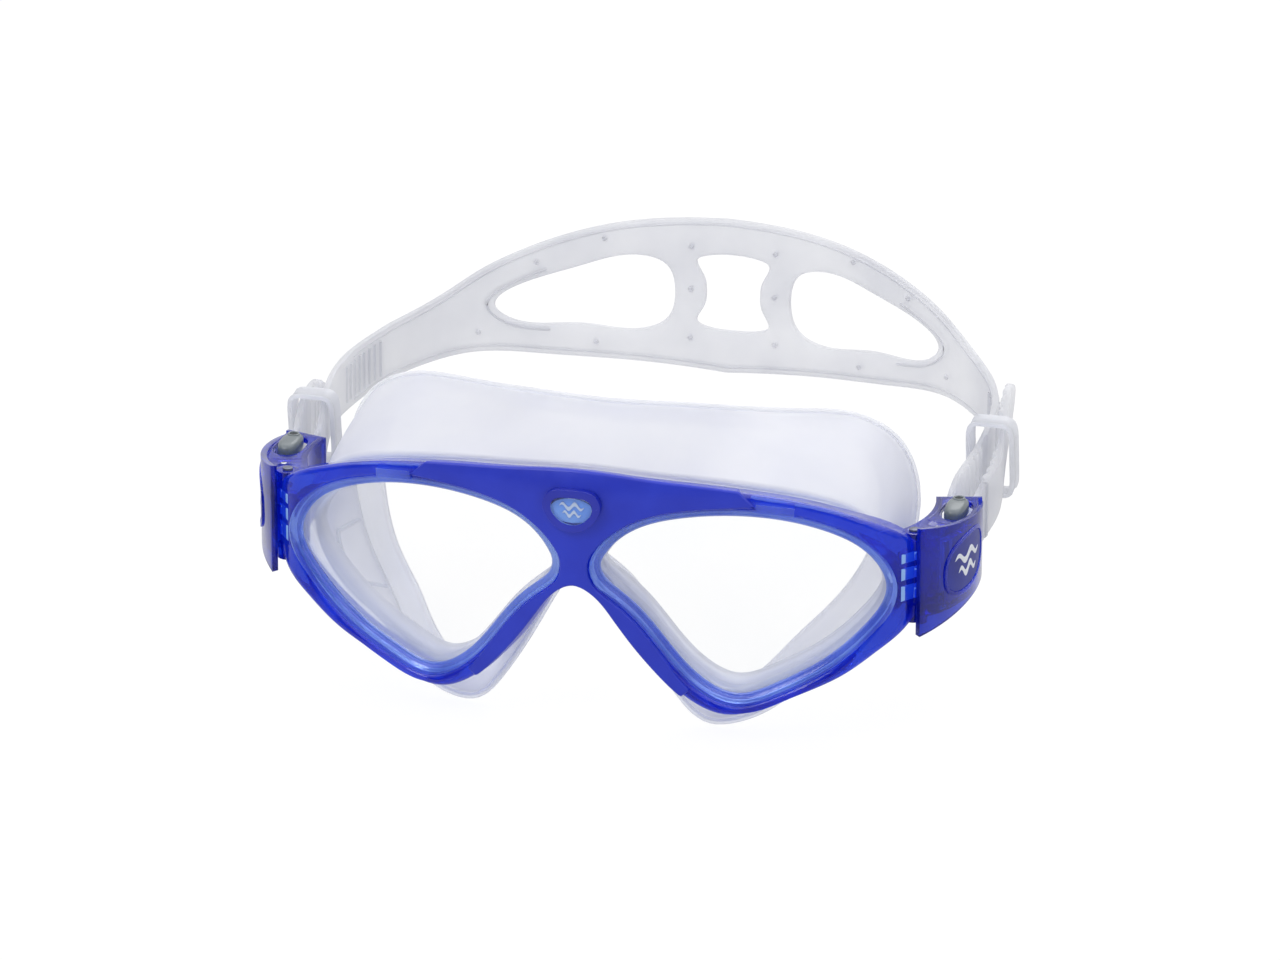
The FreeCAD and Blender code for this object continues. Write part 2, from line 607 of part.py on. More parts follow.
MID = "(sizes.outer_radius - sizes.wall_thick - sizes.cavity_wide / 2)"
ROLLER_X = "sizes.arc_x + %s * cos(sizes.roller_angle * 1deg)" % MID
ROLLER_Y = "sizes.arc_y + %s * sin(sizes.roller_angle * 1deg)" % MID
LEVER_X = "sizes.arc_x + %s * cos(sizes.lever_angle * 1deg)" % MID
LEVER_Y = "sizes.arc_y + %s * sin(sizes.lever_angle * 1deg)" % MID
HINGE_BASE = "sizes.knuckle_top - 5 * sizes.knuckle_tall - 4 * sizes.knuckle_gap - sizes.pin_overhang"

pin = bound_cylinder("hinge_pin_left", "sizes.pin_radius", "sizes.hinge_x", "sizes.hinge_y", HINGE_BASE,
                     "sizes.knuckle_top + sizes.pin_overhang")
add_mirror("hinge_pin_right", pin)

lever_pin = bound_cylinder("lever_pin_left", "sizes.axle_radius", LEVER_X, LEVER_Y,
                           "sizes.floor_top - sizes.floor_thick", "sizes.head_base + 2")
add_mirror("lever_pin_right", lever_pin)

# The roller is a drum between two thin journals.
drum = bound_cylinder("roller_drum", "sizes.roller_radius", ROLLER_X, ROLLER_Y, "sizes.floor_top + 0.1",
                      "sizes.inner_top - 1.7")
axle = bound_cylinder("roller_axle", "sizes.axle_radius", ROLLER_X, ROLLER_Y,
                      "sizes.floor_top - sizes.floor_thick", "sizes.inner_top")
roller = doc.addObject("Part::Fuse", "strap_roller_left")
roller.Label = "strap_roller_left"
roller.Base = drum
roller.Tool = axle
add_mirror("strap_roller_right", roller)

# The lever: a hub on its pin, a tooth that reaches forward between the strap's ribs, and a head on top.
hub = bound_cylinder("lever_hub", "sizes.lever_hub_radius", LEVER_X, LEVER_Y, "sizes.lever_base",
                     "sizes.head_base + 0.5")
tooth = bound_box("lever_tooth", LEVER_X + " + 0.3", LEVER_Y + " - sizes.tooth_long / 2", "2.2",
                  "sizes.tooth_long", "sizes.lever_base + 1", "sizes.head_base - 3.4")
head = bound_box("lever_head_block", LEVER_X, LEVER_Y, "sizes.head_wide", "sizes.head_long", "sizes.head_base",
                 "sizes.head_top")
doc.recompute()
head_round = doc.addObject("Part::Fillet", "lever_head_round")
head_round.Base = head
HEAD_ROUND = 1.6
head_round.Edges = [(k + 1, HEAD_ROUND, HEAD_ROUND) for k, edge in enumerate(head.Shape.Edges)
                    if edge.BoundBox.ZMax > size("head_top") - 0.01 or edge.BoundBox.ZLength > 1]
lever_solid = doc.addObject("Part::MultiFuse", "lever_solid")
lever_solid.Shapes = [hub, tooth, head_round]
lever_bore = bound_cylinder("lever_bore", "sizes.axle_radius + sizes.running_gap", LEVER_X, LEVER_Y,
                            "sizes.lever_base - 1", "sizes.head_base + 2.3")
lever = doc.addObject("Part::Cut", "release_lever_left")
lever.Label = "release_lever_left"
lever.Base = lever_solid
lever.Tool = lever_bore
add_mirror("release_lever_right", lever)

def lever_spring(side, sign, turn, hand):
    """The lever's torsion spring: two coils round the pin, under the hub."""
    base = "sizes.floor_top + 0.37"
    path = doc.addObject("Part::Helix", "spring_path_" + side)
    path.LocalCoord = hand
    bind(path, Pitch="sizes.spring_pitch", Height="2 * sizes.spring_pitch", Radius="sizes.spring_radius",
         Placement__Base__x="%d * (%s)" % (sign, LEVER_X), Placement__Base__y=LEVER_Y, Placement__Base__z=base)
    path.Placement.Rotation = Rotation(Vector(0, 0, 1), turn)
    wire = doc.addObject("Part::Circle", "spring_wire_" + side)
    bind(wire, Radius="sizes.spring_wire", Placement__Base__y=LEVER_Y, Placement__Base__z=base,
         Placement__Base__x="%d * (%s + sizes.spring_radius)" % (sign, LEVER_X))
    wire.Placement.Rotation = Rotation(Vector(1, 0, 0), 90)
    doc.recompute()
    spring = doc.addObject("Part::Sweep", "lever_spring_" + side)
    spring.Label = "lever_spring_" + side
    spring.Sections = [wire]
    spring.Spine = (path, ["Edge%d" % (k + 1) for k in range(len(path.Shape.Edges))])
    spring.Solid = True
    spring.Frenet = True


lever_spring("left", 1, 0, "Right-handed")
lever_spring("right", -1, 180, "Left-handed")


def keeper(side, sign):
    """A flat loop round both layers of the strap. The two keepers stand at different places."""
    x, y, low, tall = ("sizes.keeper_%s_%s" % (side, part) for part in ("x", "y", "low", "tall"))
    x = "%d * %s" % (sign, x)
    body = bound_box("keeper_body_" + side, x, y, "sizes.keeper_slot + 2 * sizes.keeper_wall",
                     "sizes.keeper_long", low, low + " + " + tall)
    slot = bound_box("keeper_slot_" + side, x, y, "sizes.keeper_slot", "sizes.keeper_long + 2",
                     low + " + sizes.keeper_wall", low + " + " + tall + " - sizes.keeper_wall")
    doc.recompute()
    rounded = doc.addObject("Part::Fillet", "keeper_round_" + side)
    rounded.Base = body
    radius = size("keeper_round")
    rounded.Edges = [(k + 1, radius, radius) for k, edge in enumerate(body.Shape.Edges)
                     if edge.BoundBox.YLength > 1 and edge.BoundBox.XLength < 0.1]
    loop = doc.addObject("Part::Cut", "strap_keeper_" + side)
    loop.Label = "strap_keeper_" + side
    loop.Base = rounded
    loop.Tool = slot


keeper("left", 1)
keeper("right", -1)


# ---------------------------------------------------------------- check and write

PAIRED = ["lens", "retaining_ring", "buckle", "hinge_pin", "strap_roller", "release_lever", "lever_pin",
          "lever_spring", "strap_loop", "strap_tail", "strap_keeper"]
NODES = ["frame", "bridge_cover", "badge_rim", "badge_window", "badge_emblem", "skirt", "head_strap"]
NODES += [name + side for name in PAIRED for side in ("_left", "_right")]

doc.recompute()
for item in doc.Objects:
    if "Invalid" in item.State or "Error" in item.State:
        raise RuntimeError("object failed: " + item.Label)
os.makedirs("parts", exist_ok=True)
for label in NODES:
    shape = doc.getObjectsByLabel(label)[0].Shape
    if shape.isNull() or not shape.isValid() or len(shape.Solids) != 1:
        raise RuntimeError("bad shape: %s, %d solids" % (label, len(shape.Solids)))
for label in NODES:
    doc.getObjectsByLabel(label)[0].Shape.exportStep("parts/%s.step" % label)
print("wrote", len(NODES), "nodes")
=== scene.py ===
"""Looks of the low two-window diving mask. Lengths below are millimetres until put() turns them to metres."""
import json
import math

import bmesh
import bpy
import numpy as np
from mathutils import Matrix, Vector


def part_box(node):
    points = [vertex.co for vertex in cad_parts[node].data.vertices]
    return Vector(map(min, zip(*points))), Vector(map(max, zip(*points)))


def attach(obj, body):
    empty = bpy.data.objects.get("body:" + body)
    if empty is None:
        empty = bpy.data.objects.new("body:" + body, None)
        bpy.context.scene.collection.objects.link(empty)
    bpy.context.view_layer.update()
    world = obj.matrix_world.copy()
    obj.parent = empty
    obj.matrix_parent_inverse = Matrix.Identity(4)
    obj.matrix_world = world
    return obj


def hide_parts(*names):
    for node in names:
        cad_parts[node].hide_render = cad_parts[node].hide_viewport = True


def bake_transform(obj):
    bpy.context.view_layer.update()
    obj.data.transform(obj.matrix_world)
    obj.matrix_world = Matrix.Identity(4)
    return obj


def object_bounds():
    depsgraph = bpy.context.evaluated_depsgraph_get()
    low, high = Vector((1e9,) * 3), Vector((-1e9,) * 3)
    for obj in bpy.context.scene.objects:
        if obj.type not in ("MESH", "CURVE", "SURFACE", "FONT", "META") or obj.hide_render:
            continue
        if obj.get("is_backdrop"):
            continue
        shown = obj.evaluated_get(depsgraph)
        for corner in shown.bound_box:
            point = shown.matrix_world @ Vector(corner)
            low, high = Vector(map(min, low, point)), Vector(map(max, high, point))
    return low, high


MM = 0.001
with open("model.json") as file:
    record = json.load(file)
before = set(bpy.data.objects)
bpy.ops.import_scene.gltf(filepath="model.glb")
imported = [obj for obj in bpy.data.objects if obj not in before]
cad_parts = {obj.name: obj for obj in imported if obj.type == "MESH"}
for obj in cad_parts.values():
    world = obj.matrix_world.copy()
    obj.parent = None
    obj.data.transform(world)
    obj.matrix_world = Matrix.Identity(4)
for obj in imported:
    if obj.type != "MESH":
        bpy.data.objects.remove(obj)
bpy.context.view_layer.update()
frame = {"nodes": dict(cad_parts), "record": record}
nodes = frame["nodes"]
record = frame["record"]
rng = np.random.default_rng(7)


# ---------------------------------------------------------------- curves

def spline(points, count, closed=False):
    """A smooth line through the points (natural or periodic cubic), sampled evenly in parameter."""
    pts = np.array(points, float)
    if closed:
        pts = np.vstack([pts, pts[:1]])
    steps = np.linalg.norm(np.diff(pts, axis=0), axis=1)
    knots = np.concatenate([[0.0], np.cumsum(steps)])
    slopes = cubic_slopes(knots, pts, closed)
    at = np.linspace(knots[0], knots[-1], count, endpoint=not closed)
    return hermite(knots, pts, slopes, at)


def cubic_slopes(knots, pts, closed):
    """Slopes that make the cubic through the points smooth to the second derivative."""
    n = len(knots)
    h = np.diff(knots)
    size = n - 1 if closed else n
    matrix = np.zeros((size, size))
    right = np.zeros((size, pts.shape[1]))
    for k in range(size):
        if not closed and k in (0, n - 1):
            other = 1 if k == 0 else n - 2
            span = h[0] if k == 0 else h[-1]
            matrix[k, k], matrix[k, other] = 2.0, 1.0
            right[k] = 3.0 * (pts[max(k, other)] - pts[min(k, other)]) / span
            continue
        before = h[k - 1] if k > 0 else h[-1]
        after = h[k]
        previous = pts[k - 1] if k > 0 else pts[n - 2]
        matrix[k, (k - 1) % size] += after
        matrix[k, k] += 2.0 * (before + after)
        matrix[k, (k + 1) % size] += before
        right[k] = 3.0 * (after * (pts[k] - previous) / before + before * (pts[k + 1] - pts[k]) / after)
    slopes = np.linalg.solve(matrix, right)
    return np.vstack([slopes, slopes[:1]]) if closed else slopes


def hermite(knots, pts, slopes, at):
    k = np.clip(np.searchsorted(knots, at, side="right") - 1, 0, len(knots) - 2)
    span = (knots[k + 1] - knots[k])[:, None]
    t = (at - knots[k])[:, None] / span
    a, b = pts[k], pts[k + 1]
    da, db = slopes[k] * span, slopes[k + 1] * span
    return ((2 * t**3 - 3 * t**2 + 1) * a + (t**3 - 2 * t**2 + t) * da
            + (3 * t**2 - 2 * t**3) * b + (t**3 - t**2) * db)


def through(points, x):
    """Height of a smooth line through (x, y) pairs at the given x."""
    pts = np.array(sorted(points), float)
    slopes = cubic_slopes(pts[:, 0], pts[:, 1:], False)
    at = np.clip(np.atleast_1d(np.asarray(x, float)), pts[0, 0], pts[-1, 0])
    return hermite(pts[:, 0], pts[:, 1:], slopes, at)[:, 0]


def even(points, spacing, closed=False):
    """The same line with points at an even spacing."""
    pts = np.vstack([points, points[:1]]) if closed else np.array(points, float)
    run = np.concatenate([[0.0], np.cumsum(np.linalg.norm(np.diff(pts, axis=0), axis=1))])
    count = max(4, int(round(run[-1] / spacing)))
    at = np.linspace(0, run[-1], count, endpoint=False) if closed else np.linspace(0, run[-1], count + 1)
    return np.stack([np.interp(at, run, pts[:, k]) for k in range(pts.shape[1])], axis=1)


def smoothstep(low, high, x):
    t = np.clip((x - low) / (high - low), 0.0, 1.0)
    return t * t * (3 - 2 * t)


# ---------------------------------------------------------------- meshes

def put(name, verts, faces, smooth=True):
    """A mesh object from millimetre vertices."""
    mesh = bpy.data.meshes.new(name)
    mesh.from_pydata([tuple(float(c) * MM for c in v) for v in verts], [], faces)
    mesh.update()
    mesh.shade_smooth() if smooth else mesh.shade_flat()
    obj = bpy.data.objects.new(name, mesh)
    bpy.context.scene.collection.objects.link(obj)
    clean = bmesh.new()
    clean.from_mesh(mesh)
    bmesh.ops.remove_doubles(clean, verts=clean.verts, dist=1e-6)
    bmesh.ops.recalc_face_normals(clean, faces=clean.faces)
    clean.to_mesh(mesh)
    clean.free()
    return obj


def grid(name, rows, close_rows=False, close_columns=False, caps=False):
    """A skin over rows of points; rows may join up, and so may their ends."""
    count, width = len(rows), len(rows[0])
    verts = [p for row in rows for p in row]
    faces = []
    for i in range(count if close_rows else count - 1):
        for j in range(width if close_columns else width - 1):
            a, b = i, (i + 1) % count
            c, d = j, (j + 1) % width
            faces.append((a * width + c, a * width + d, b * width + d, b * width + c))
    if caps:
        faces.append(tuple(range(width)))
        faces.append(tuple((count - 1) * width + j for j in reversed(range(width))))
    return put(name, verts, faces)


def plate(name, loops, low, high, bevel, place, slices=(), rounds=2, levels=()):
    """Flat outlines with holes, given thickness and rounded edges, cut into slices and laid by place(u, v, w)."""
    curve = bpy.data.curves.new(name, "CURVE")
    curve.dimensions = "2D"
    curve.fill_mode = "BOTH"
    for loop in loops:
        line = curve.splines.new("POLY")
        line.points.add(len(loop) - 1)
        for point, (u, v) in zip(line.points, loop):
            point.co = (u, v, 0, 1)
        line.use_cyclic_u = True
    curve.extrude = max(0.5 * (high - low) - bevel, 0.001)
    curve.bevel_depth = bevel
    curve.bevel_resolution = rounds
    curve.offset = -bevel
    holder = bpy.data.objects.new(name + "_outline", curve)
    bpy.context.scene.collection.objects.link(holder)
    bpy.context.view_layer.update()
    flat = bpy.data.meshes.new_from_object(holder.evaluated_get(bpy.context.evaluated_depsgraph_get()))
    bpy.data.objects.remove(holder)
    work = bmesh.new()
    work.from_mesh(flat)
    bmesh.ops.remove_doubles(work, verts=work.verts, dist=1e-4)
    cuts = [((at, 0, 0), (1, 0, 0)) for at in slices] + [((0, at, 0), (0, 1, 0)) for at in levels]
    for at, square_to in cuts:
        everything = work.verts[:] + work.edges[:] + work.faces[:]
        bmesh.ops.bisect_plane(work, geom=everything, plane_co=at, plane_no=square_to)
    middle = 0.5 * (low + high)
    uvw = np.array([(v.co.x, v.co.y, v.co.z + middle) for v in work.verts])
    xyz = place(uvw[:, 0], uvw[:, 1], uvw[:, 2])
    for vert, point in zip(work.verts, xyz):
        vert.co = Vector([float(c) * MM for c in point])
    bmesh.ops.recalc_face_normals(work, faces=work.faces)
    if work.calc_volume(signed=True) < 0:
        bmesh.ops.reverse_faces(work, faces=work.faces)
    mesh = bpy.data.meshes.new(name)
    work.to_mesh(mesh)
    work.free()
    obj = bpy.data.objects.new(name, mesh)
    bpy.context.scene.collection.objects.link(obj)
    shade(obj, 35)
    return obj


def shade(obj, degrees):
    """Smooth shading that keeps edges sharper than the given angle."""
    mesh = obj.data
    mesh.shade_smooth()
    mesh.set_sharp_from_angle(angle=math.radians(degrees))


def flat_faces(obj):
    """Keeps the light even on wide flat faces beside rounded edges."""
    even_light = obj.modifiers.new("even_light", "WEIGHTED_NORMAL")
    even_light.keep_sharp = True
    even_light.weight = 80


def tube(name, path, radius, sides=10, closed=False):
    """A round bead along a path of points."""
    path = np.array(path, float)
    if closed:
        ahead, behind = np.roll(path, -1, axis=0), np.roll(path, 1, axis=0)
    else:
        ahead = np.vstack([path[1:], path[-1:]])
        behind = np.vstack([path[:1], path[:-1]])
    along = ahead - behind
    along /= np.linalg.norm(along, axis=1)[:, None]
    guide = np.array([0.0, 0.0, 1.0])
    if abs(along[:, 2]).mean() > 0.8:
        guide = np.array([1.0, 0.0, 0.0])
    across = np.cross(along, guide)
    across /= np.linalg.norm(across, axis=1)[:, None]
    other = np.cross(along, across)
    turns = np.linspace(0, 2 * math.pi, sides, endpoint=False)
    radii = np.broadcast_to(radius, (len(path),))
    rows = [[p + r * (math.cos(t) * a + math.sin(t) * b) for t in turns]
            for p, a, b, r in zip(path, across, other, radii)]
    return grid(name, rows, close_rows=closed, close_columns=True, caps=not closed)


def join(name, parts):
    """One object from several, keeping their vertices where they are."""
    merged = bmesh.new()
    for part in parts:
        merged.from_mesh(part.data)
    mesh = bpy.data.meshes.new(name)
    merged.to_mesh(mesh)
    merged.free()
    for part in parts:
        bpy.data.objects.remove(part)
    obj = bpy.data.objects.new(name, mesh)
    bpy.context.scene.collection.objects.link(obj)
    shade(obj, 35)
    return obj


def soften(obj, width, degrees=32, segments=2):
    """Rounded edges on a hard piece, made when it is drawn."""
    weld = obj.modifiers.new("weld", "WELD")
    weld.merge_threshold = 1e-6
    bevel = obj.modifiers.new("rounded_edges", "BEVEL")
    bevel.limit_method = "ANGLE"
    bevel.angle_limit = math.radians(degrees)
    bevel.width = width * MM
    bevel.segments = segments
    bevel.harden_normals = False
    bevel.use_clamp_overlap = True
    obj.data.shade_smooth()


# ---------------------------------------------------------------- materials

def nodes_of(name):
    made = bpy.data.materials.new(name)
    made.use_nodes = True
    tree = made.node_tree
    tree.nodes.clear()
    return made, tree


def link(tree, source, target):
    tree.links.new(source, target)


def noise(tree, scale, detail=3.0, rough=0.5):
    where = tree.nodes.new("ShaderNodeTexCoord")
    made = tree.nodes.new("ShaderNodeTexNoise")
    made.inputs["Scale"].default_value = scale
    made.inputs["Detail"].default_value = detail
    made.inputs["Roughness"].default_value = rough
    link(tree, where.outputs["Object"], made.inputs["Vector"])
    return made.outputs["Fac"]


def blend_colours(tree, factor, first, second):
    ramp = tree.nodes.new("ShaderNodeValToRGB")
    ramp.color_ramp.elements[0].position = 0.3
    ramp.color_ramp.elements[0].color = (*first, 1)
    ramp.color_ramp.elements[1].position = 0.7
    ramp.color_ramp.elements[1].color = (*second, 1)
    link(tree, factor, ramp.inputs["Fac"])
    return ramp.outputs["Color"]


def spread(tree, factor, low, high):
    made = tree.nodes.new("ShaderNodeMapRange")
    made.inputs["To Min"].default_value = low
    made.inputs["To Max"].default_value = high
    link(tree, factor, made.inputs["Value"])
    return made.outputs["Result"]


def grain(tree, scale, strength, distance):
    bump = tree.nodes.new("ShaderNodeBump")
    bump.inputs["Strength"].default_value = strength
    bump.inputs["Distance"].default_value = distance
    link(tree, noise(tree, scale, 4.0), bump.inputs["Height"])
    return bump.outputs["Normal"]


def plastic(name, first, second, rough, transmission=0.0, ior=1.49, coat=0.0, bump=0.05, metal=0.0, alpha=1.0):
    """A moulded plastic or metal: two close tints, uneven gloss and a fine moulded grain."""
    made, tree = nodes_of(name)
    out = tree.nodes.new("ShaderNodeOutputMaterial")
    body = tree.nodes.new("ShaderNodeBsdfPrincipled")
    cloud = noise(tree, 90.0)
    link(tree, blend_colours(tree, cloud, first, second), body.inputs["Base Color"])
    link(tree, spread(tree, noise(tree, 260.0), rough * 0.8, rough * 1.25), body.inputs["Roughness"])
    link(tree, grain(tree, 1400.0, bump, 0.0002), body.inputs["Normal"])
    body.inputs["Transmission Weight"].default_value = transmission
    body.inputs["IOR"].default_value = ior
    body.inputs["Coat Weight"].default_value = coat
    body.inputs["Coat Roughness"].default_value = 0.06
    body.inputs["Metallic"].default_value = metal
    body.inputs["Alpha"].default_value = alpha
    link(tree, body.outputs["BSDF"], out.inputs["Surface"])
    return made


def tinted(name, first, second, deep, gloss, haze, solid_edge=0.8, glow=(0.5, 0.6, 1.0)):
    """A see-through coloured plastic: it bends light like the real moulding, with a little haze in it."""
    made, tree = nodes_of(name)
    out = tree.nodes.new("ShaderNodeOutputMaterial")
    clear = tree.nodes.new("ShaderNodeBsdfPrincipled")
    cloud = noise(tree, 70.0)
    link(tree, blend_colours(tree, cloud, first, second), clear.inputs["Base Color"])
    link(tree, spread(tree, noise(tree, 220.0), gloss * 0.6, gloss * 1.4), clear.inputs["Roughness"])
    clear.inputs["IOR"].default_value = 1.45
    clear.inputs["Transmission Weight"].default_value = 1.0
    link(tree, grain(tree, 1200.0, 0.02, 0.0002), clear.inputs["Normal"])
    hazy = tree.nodes.new("ShaderNodeBsdfPrincipled")
    link(tree, blend_colours(tree, cloud, deep, first), hazy.inputs["Base Color"])
    hazy.inputs["Specular IOR Level"].default_value = 0.5
    hazy.inputs["Roughness"].default_value = 0.08
    facing = tree.nodes.new("ShaderNodeLayerWeight")
    facing.inputs["Blend"].default_value = 0.45
    body = tree.nodes.new("ShaderNodeMixShader")
    link(tree, spread(tree, facing.outputs["Facing"], haze, min(haze + solid_edge, 1.0)), body.inputs["Fac"])
    link(tree, clear.outputs["BSDF"], body.inputs[1])
    link(tree, hazy.outputs["BSDF"], body.inputs[2])
    light = tree.nodes.new("ShaderNodeBsdfTransparent")
    link(tree, blend_colours(tree, cloud, glow, (min(glow[0] * 1.2, 1), min(glow[1] * 1.2, 1), 1)),
         light.inputs["Color"])
    ray = tree.nodes.new("ShaderNodeLightPath")
    either = tree.nodes.new("ShaderNodeMath")
    either.operation = "MAXIMUM"
    link(tree, ray.outputs["Is Shadow Ray"], either.inputs[0])
    link(tree, ray.outputs["Is Diffuse Ray"], either.inputs[1])
    passing = tree.nodes.new("ShaderNodeMixShader")
    link(tree, either.outputs["Value"], passing.inputs["Fac"])
    link(tree, body.outputs["Shader"], passing.inputs[1])
    link(tree, light.outputs["BSDF"], passing.inputs[2])
    link(tree, passing.outputs["Shader"], out.inputs["Surface"])
    return made


def clearer_in_front(tree, solid, edge):
    """Lets most of the light through where Y is less than the edge (in metres)."""
    where = tree.nodes.new("ShaderNodeTexCoord")
    parts = tree.nodes.new("ShaderNodeSeparateXYZ")
    link(tree, where.outputs["Object"], parts.inputs["Vector"])
    fade = tree.nodes.new("ShaderNodeMapRange")
    fade.inputs["From Min"].default_value = edge - 0.003
    fade.inputs["From Max"].default_value = edge
    fade.inputs["To Min"].default_value = 0.16
    link(tree, parts.outputs["Y"], fade.inputs["Value"])
    product = tree.nodes.new("ShaderNodeMath")
    product.operation = "MULTIPLY"
    link(tree, solid, product.inputs[0])
    link(tree, fade.outputs["Result"], product.inputs[1])
    return product.outputs["Value"]


def silicone(name, tint, shade_tint, see_through, rough=0.32, wet_until=None):
    """Clear silicone: milky, lets light through, darker and more solid where it is seen edge on."""
    made, tree = nodes_of(name)
    out = tree.nodes.new("ShaderNodeOutputMaterial")
    clear = tree.nodes.new("ShaderNodeBsdfTransparent")
    clear.inputs["Color"].default_value = (0.975, 0.98, 0.995, 1)
    milk = tree.nodes.new("ShaderNodeBsdfPrincipled")
    link(tree, blend_colours(tree, noise(tree, 45.0), tint, shade_tint), milk.inputs["Base Color"])
    link(tree, spread(tree, noise(tree, 180.0), rough * 0.75, rough * 1.3), milk.inputs["Roughness"])
    link(tree, grain(tree, 900.0, 0.06, 0.0003), milk.inputs["Normal"])
    glow = tree.nodes.new("ShaderNodeBsdfTranslucent")
    link(tree, blend_colours(tree, noise(tree, 60.0), tint, (1, 1, 1)), glow.inputs["Color"])
    soft = tree.nodes.new("ShaderNodeMixShader")
    soft.inputs["Fac"].default_value = 0.45
    link(tree, milk.outputs["BSDF"], soft.inputs[1])
    link(tree, glow.outputs["BSDF"], soft.inputs[2])
    body = tree.nodes.new("ShaderNodeMixShader")
    facing = tree.nodes.new("ShaderNodeLayerWeight")
    facing.inputs["Blend"].default_value = 0.3
    solid = spread(tree, facing.outputs["Facing"], 1.0 - see_through, 1.0)
    if wet_until:
        solid = clearer_in_front(tree, solid, wet_until)
    link(tree, solid, body.inputs["Fac"])
    link(tree, clear.outputs["BSDF"], body.inputs[1])
    link(tree, soft.outputs["Shader"], body.inputs[2])
    link(tree, body.outputs["Shader"], out.inputs["Surface"])
    return made


def lens_glass(name):
    """Thin clear plastic: nearly invisible face on, with a soft reflection and faint wipe marks."""
    made, tree = nodes_of(name)
    out = tree.nodes.new("ShaderNodeOutputMaterial")
    clear = tree.nodes.new("ShaderNodeBsdfTransparent")
    link(tree, blend_colours(tree, noise(tree, 30.0), (0.985, 0.99, 0.995), (1, 1, 1)), clear.inputs["Color"])
    shine = tree.nodes.new("ShaderNodeBsdfGlossy")
    link(tree, spread(tree, noise(tree, 120.0), 0.03, 0.09), shine.inputs["Roughness"])
    facing = tree.nodes.new("ShaderNodeLayerWeight")
    edge = tree.nodes.new("ShaderNodeMapRange")
    edge.inputs["From Min"].default_value = 0.7
    edge.inputs["To Min"].default_value = 0.025
    edge.inputs["To Max"].default_value = 0.4
    link(tree, facing.outputs["Facing"], edge.inputs["Value"])
    body = tree.nodes.new("ShaderNodeMixShader")
    link(tree, edge.outputs["Result"], body.inputs["Fac"])
    link(tree, clear.outputs["BSDF"], body.inputs[1])
    link(tree, shine.outputs["BSDF"], body.inputs[2])
    link(tree, body.outputs["Shader"], out.inputs["Surface"])
    return made


FRAME_BLUE = tinted("frame_blue", (0.012, 0.05, 0.78), (0.02, 0.085, 0.88), (0.003, 0.008, 0.3), 0.03, 0.12)
BUCKLE_BLUE = tinted("buckle_blue", (0.008, 0.035, 0.66), (0.014, 0.06, 0.8), (0.002, 0.005, 0.18), 0.03, 0.05, 0.5)
RING_BLUE = tinted("ring_blue", (0.26, 0.4, 0.88), (0.36, 0.5, 0.94), (0.1, 0.18, 0.66), 0.03, 0.2, 0.6)
COVER_BLUE = plastic("cover_blue", (0.008, 0.024, 0.47), (0.012, 0.034, 0.55), 0.36, bump=0.12)
BADGE_BLUE = plastic("badge_blue", (0.006, 0.014, 0.36), (0.01, 0.024, 0.46), 0.24, coat=0.15)
WINDOW_BLUE = tinted("window_blue", (0.62, 0.76, 0.98), (0.7, 0.82, 1.0), (0.3, 0.42, 0.9), 0.02, 0.0, 0.15, (0.8, 0.85, 1.0))
SILVER = plastic("silver", (0.72, 0.75, 0.82), (0.84, 0.87, 0.93), 0.3, metal=0.35)
DARK_STEEL = plastic("dark_steel", (0.1, 0.11, 0.16), (0.16, 0.17, 0.23), 0.35, metal=0.8)
STEEL = plastic("steel", (0.5, 0.52, 0.55), (0.64, 0.66, 0.69), 0.3, metal=1.0)
LEVER_GREY = plastic("lever_grey", (0.11, 0.135, 0.15), (0.15, 0.18, 0.2), 0.34, coat=0.3, bump=0.1)
# Near-black: painted shade for the recess in the lever's eye.
PIT_SHADE = plastic("pit_shade", (0.012, 0.016, 0.02), (0.02, 0.026, 0.03), 0.5)
DARK_BLUE = plastic("inset_blue", (0.006, 0.012, 0.2), (0.01, 0.022, 0.32), 0.4)
# Pale blue: the badge backing's own colour, and also the painted highlight patches on the hinge lugs.
PALE_BLUE = plastic("pale_blue", (0.22, 0.42, 0.82), (0.32, 0.52, 0.9), 0.2, coat=0.5)
SKIRT_CLEAR = silicone("skirt_clear", (0.9, 0.905, 0.955), (0.85, 0.86, 0.92), 0.48)
STRAP_CLEAR = silicone("strap_clear", (0.83, 0.835, 0.865), (0.77, 0.775, 0.815), 0.32, 0.38)
END_CLEAR = silicone("strap_end_clear", (0.83, 0.835, 0.865), (0.77, 0.775, 0.815), 0.32, 0.38, 0.056)
SEAL_CLEAR = silicone("seal_clear", (0.92, 0.93, 0.965), (0.84, 0.85, 0.91), 0.6, 0.2)
KEEPER_CLEAR = silicone("keeper_clear", (0.84, 0.85, 0.885), (0.76, 0.77, 0.82), 0.22, 0.12)
LENS = lens_glass("lens_clear")


def paint(obj, made):
    obj.data.materials.clear()
    obj.data.materials.append(made)
    return obj


def finish_piece(obj, made, body, slot, *stands_for):
    paint(obj, made)
    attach(obj, body)
    if stands_for:
        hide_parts(*stands_for)
    return obj


# ---------------------------------------------------------------- places taken from the frame

lens_mount = next(m for m in record["mounts"] if m["name"] == "lens_face_left")
SWEEP = math.asin(lens_mount["axis"][0])
SLOPE = math.tan(SWEEP)
LENS_Y = lens_mount["pos_m"][1] / MM - SLOPE * lens_mount["pos_m"][0] / MM + 0.6 / math.cos(SWEEP)
COS, SIN = math.cos(SWEEP), math.sin(SWEEP)


def eye_place(side):
    """Lays u, v, w of the left (+1) or right (-1) lens plane in the frame."""
    def place(u, v, w):
        x = COS * u - SIN * w
        y = LENS_Y + SIN * u + COS * w
        return np.stack([side * x, y, np.asarray(v, float)], axis=1)
    return place


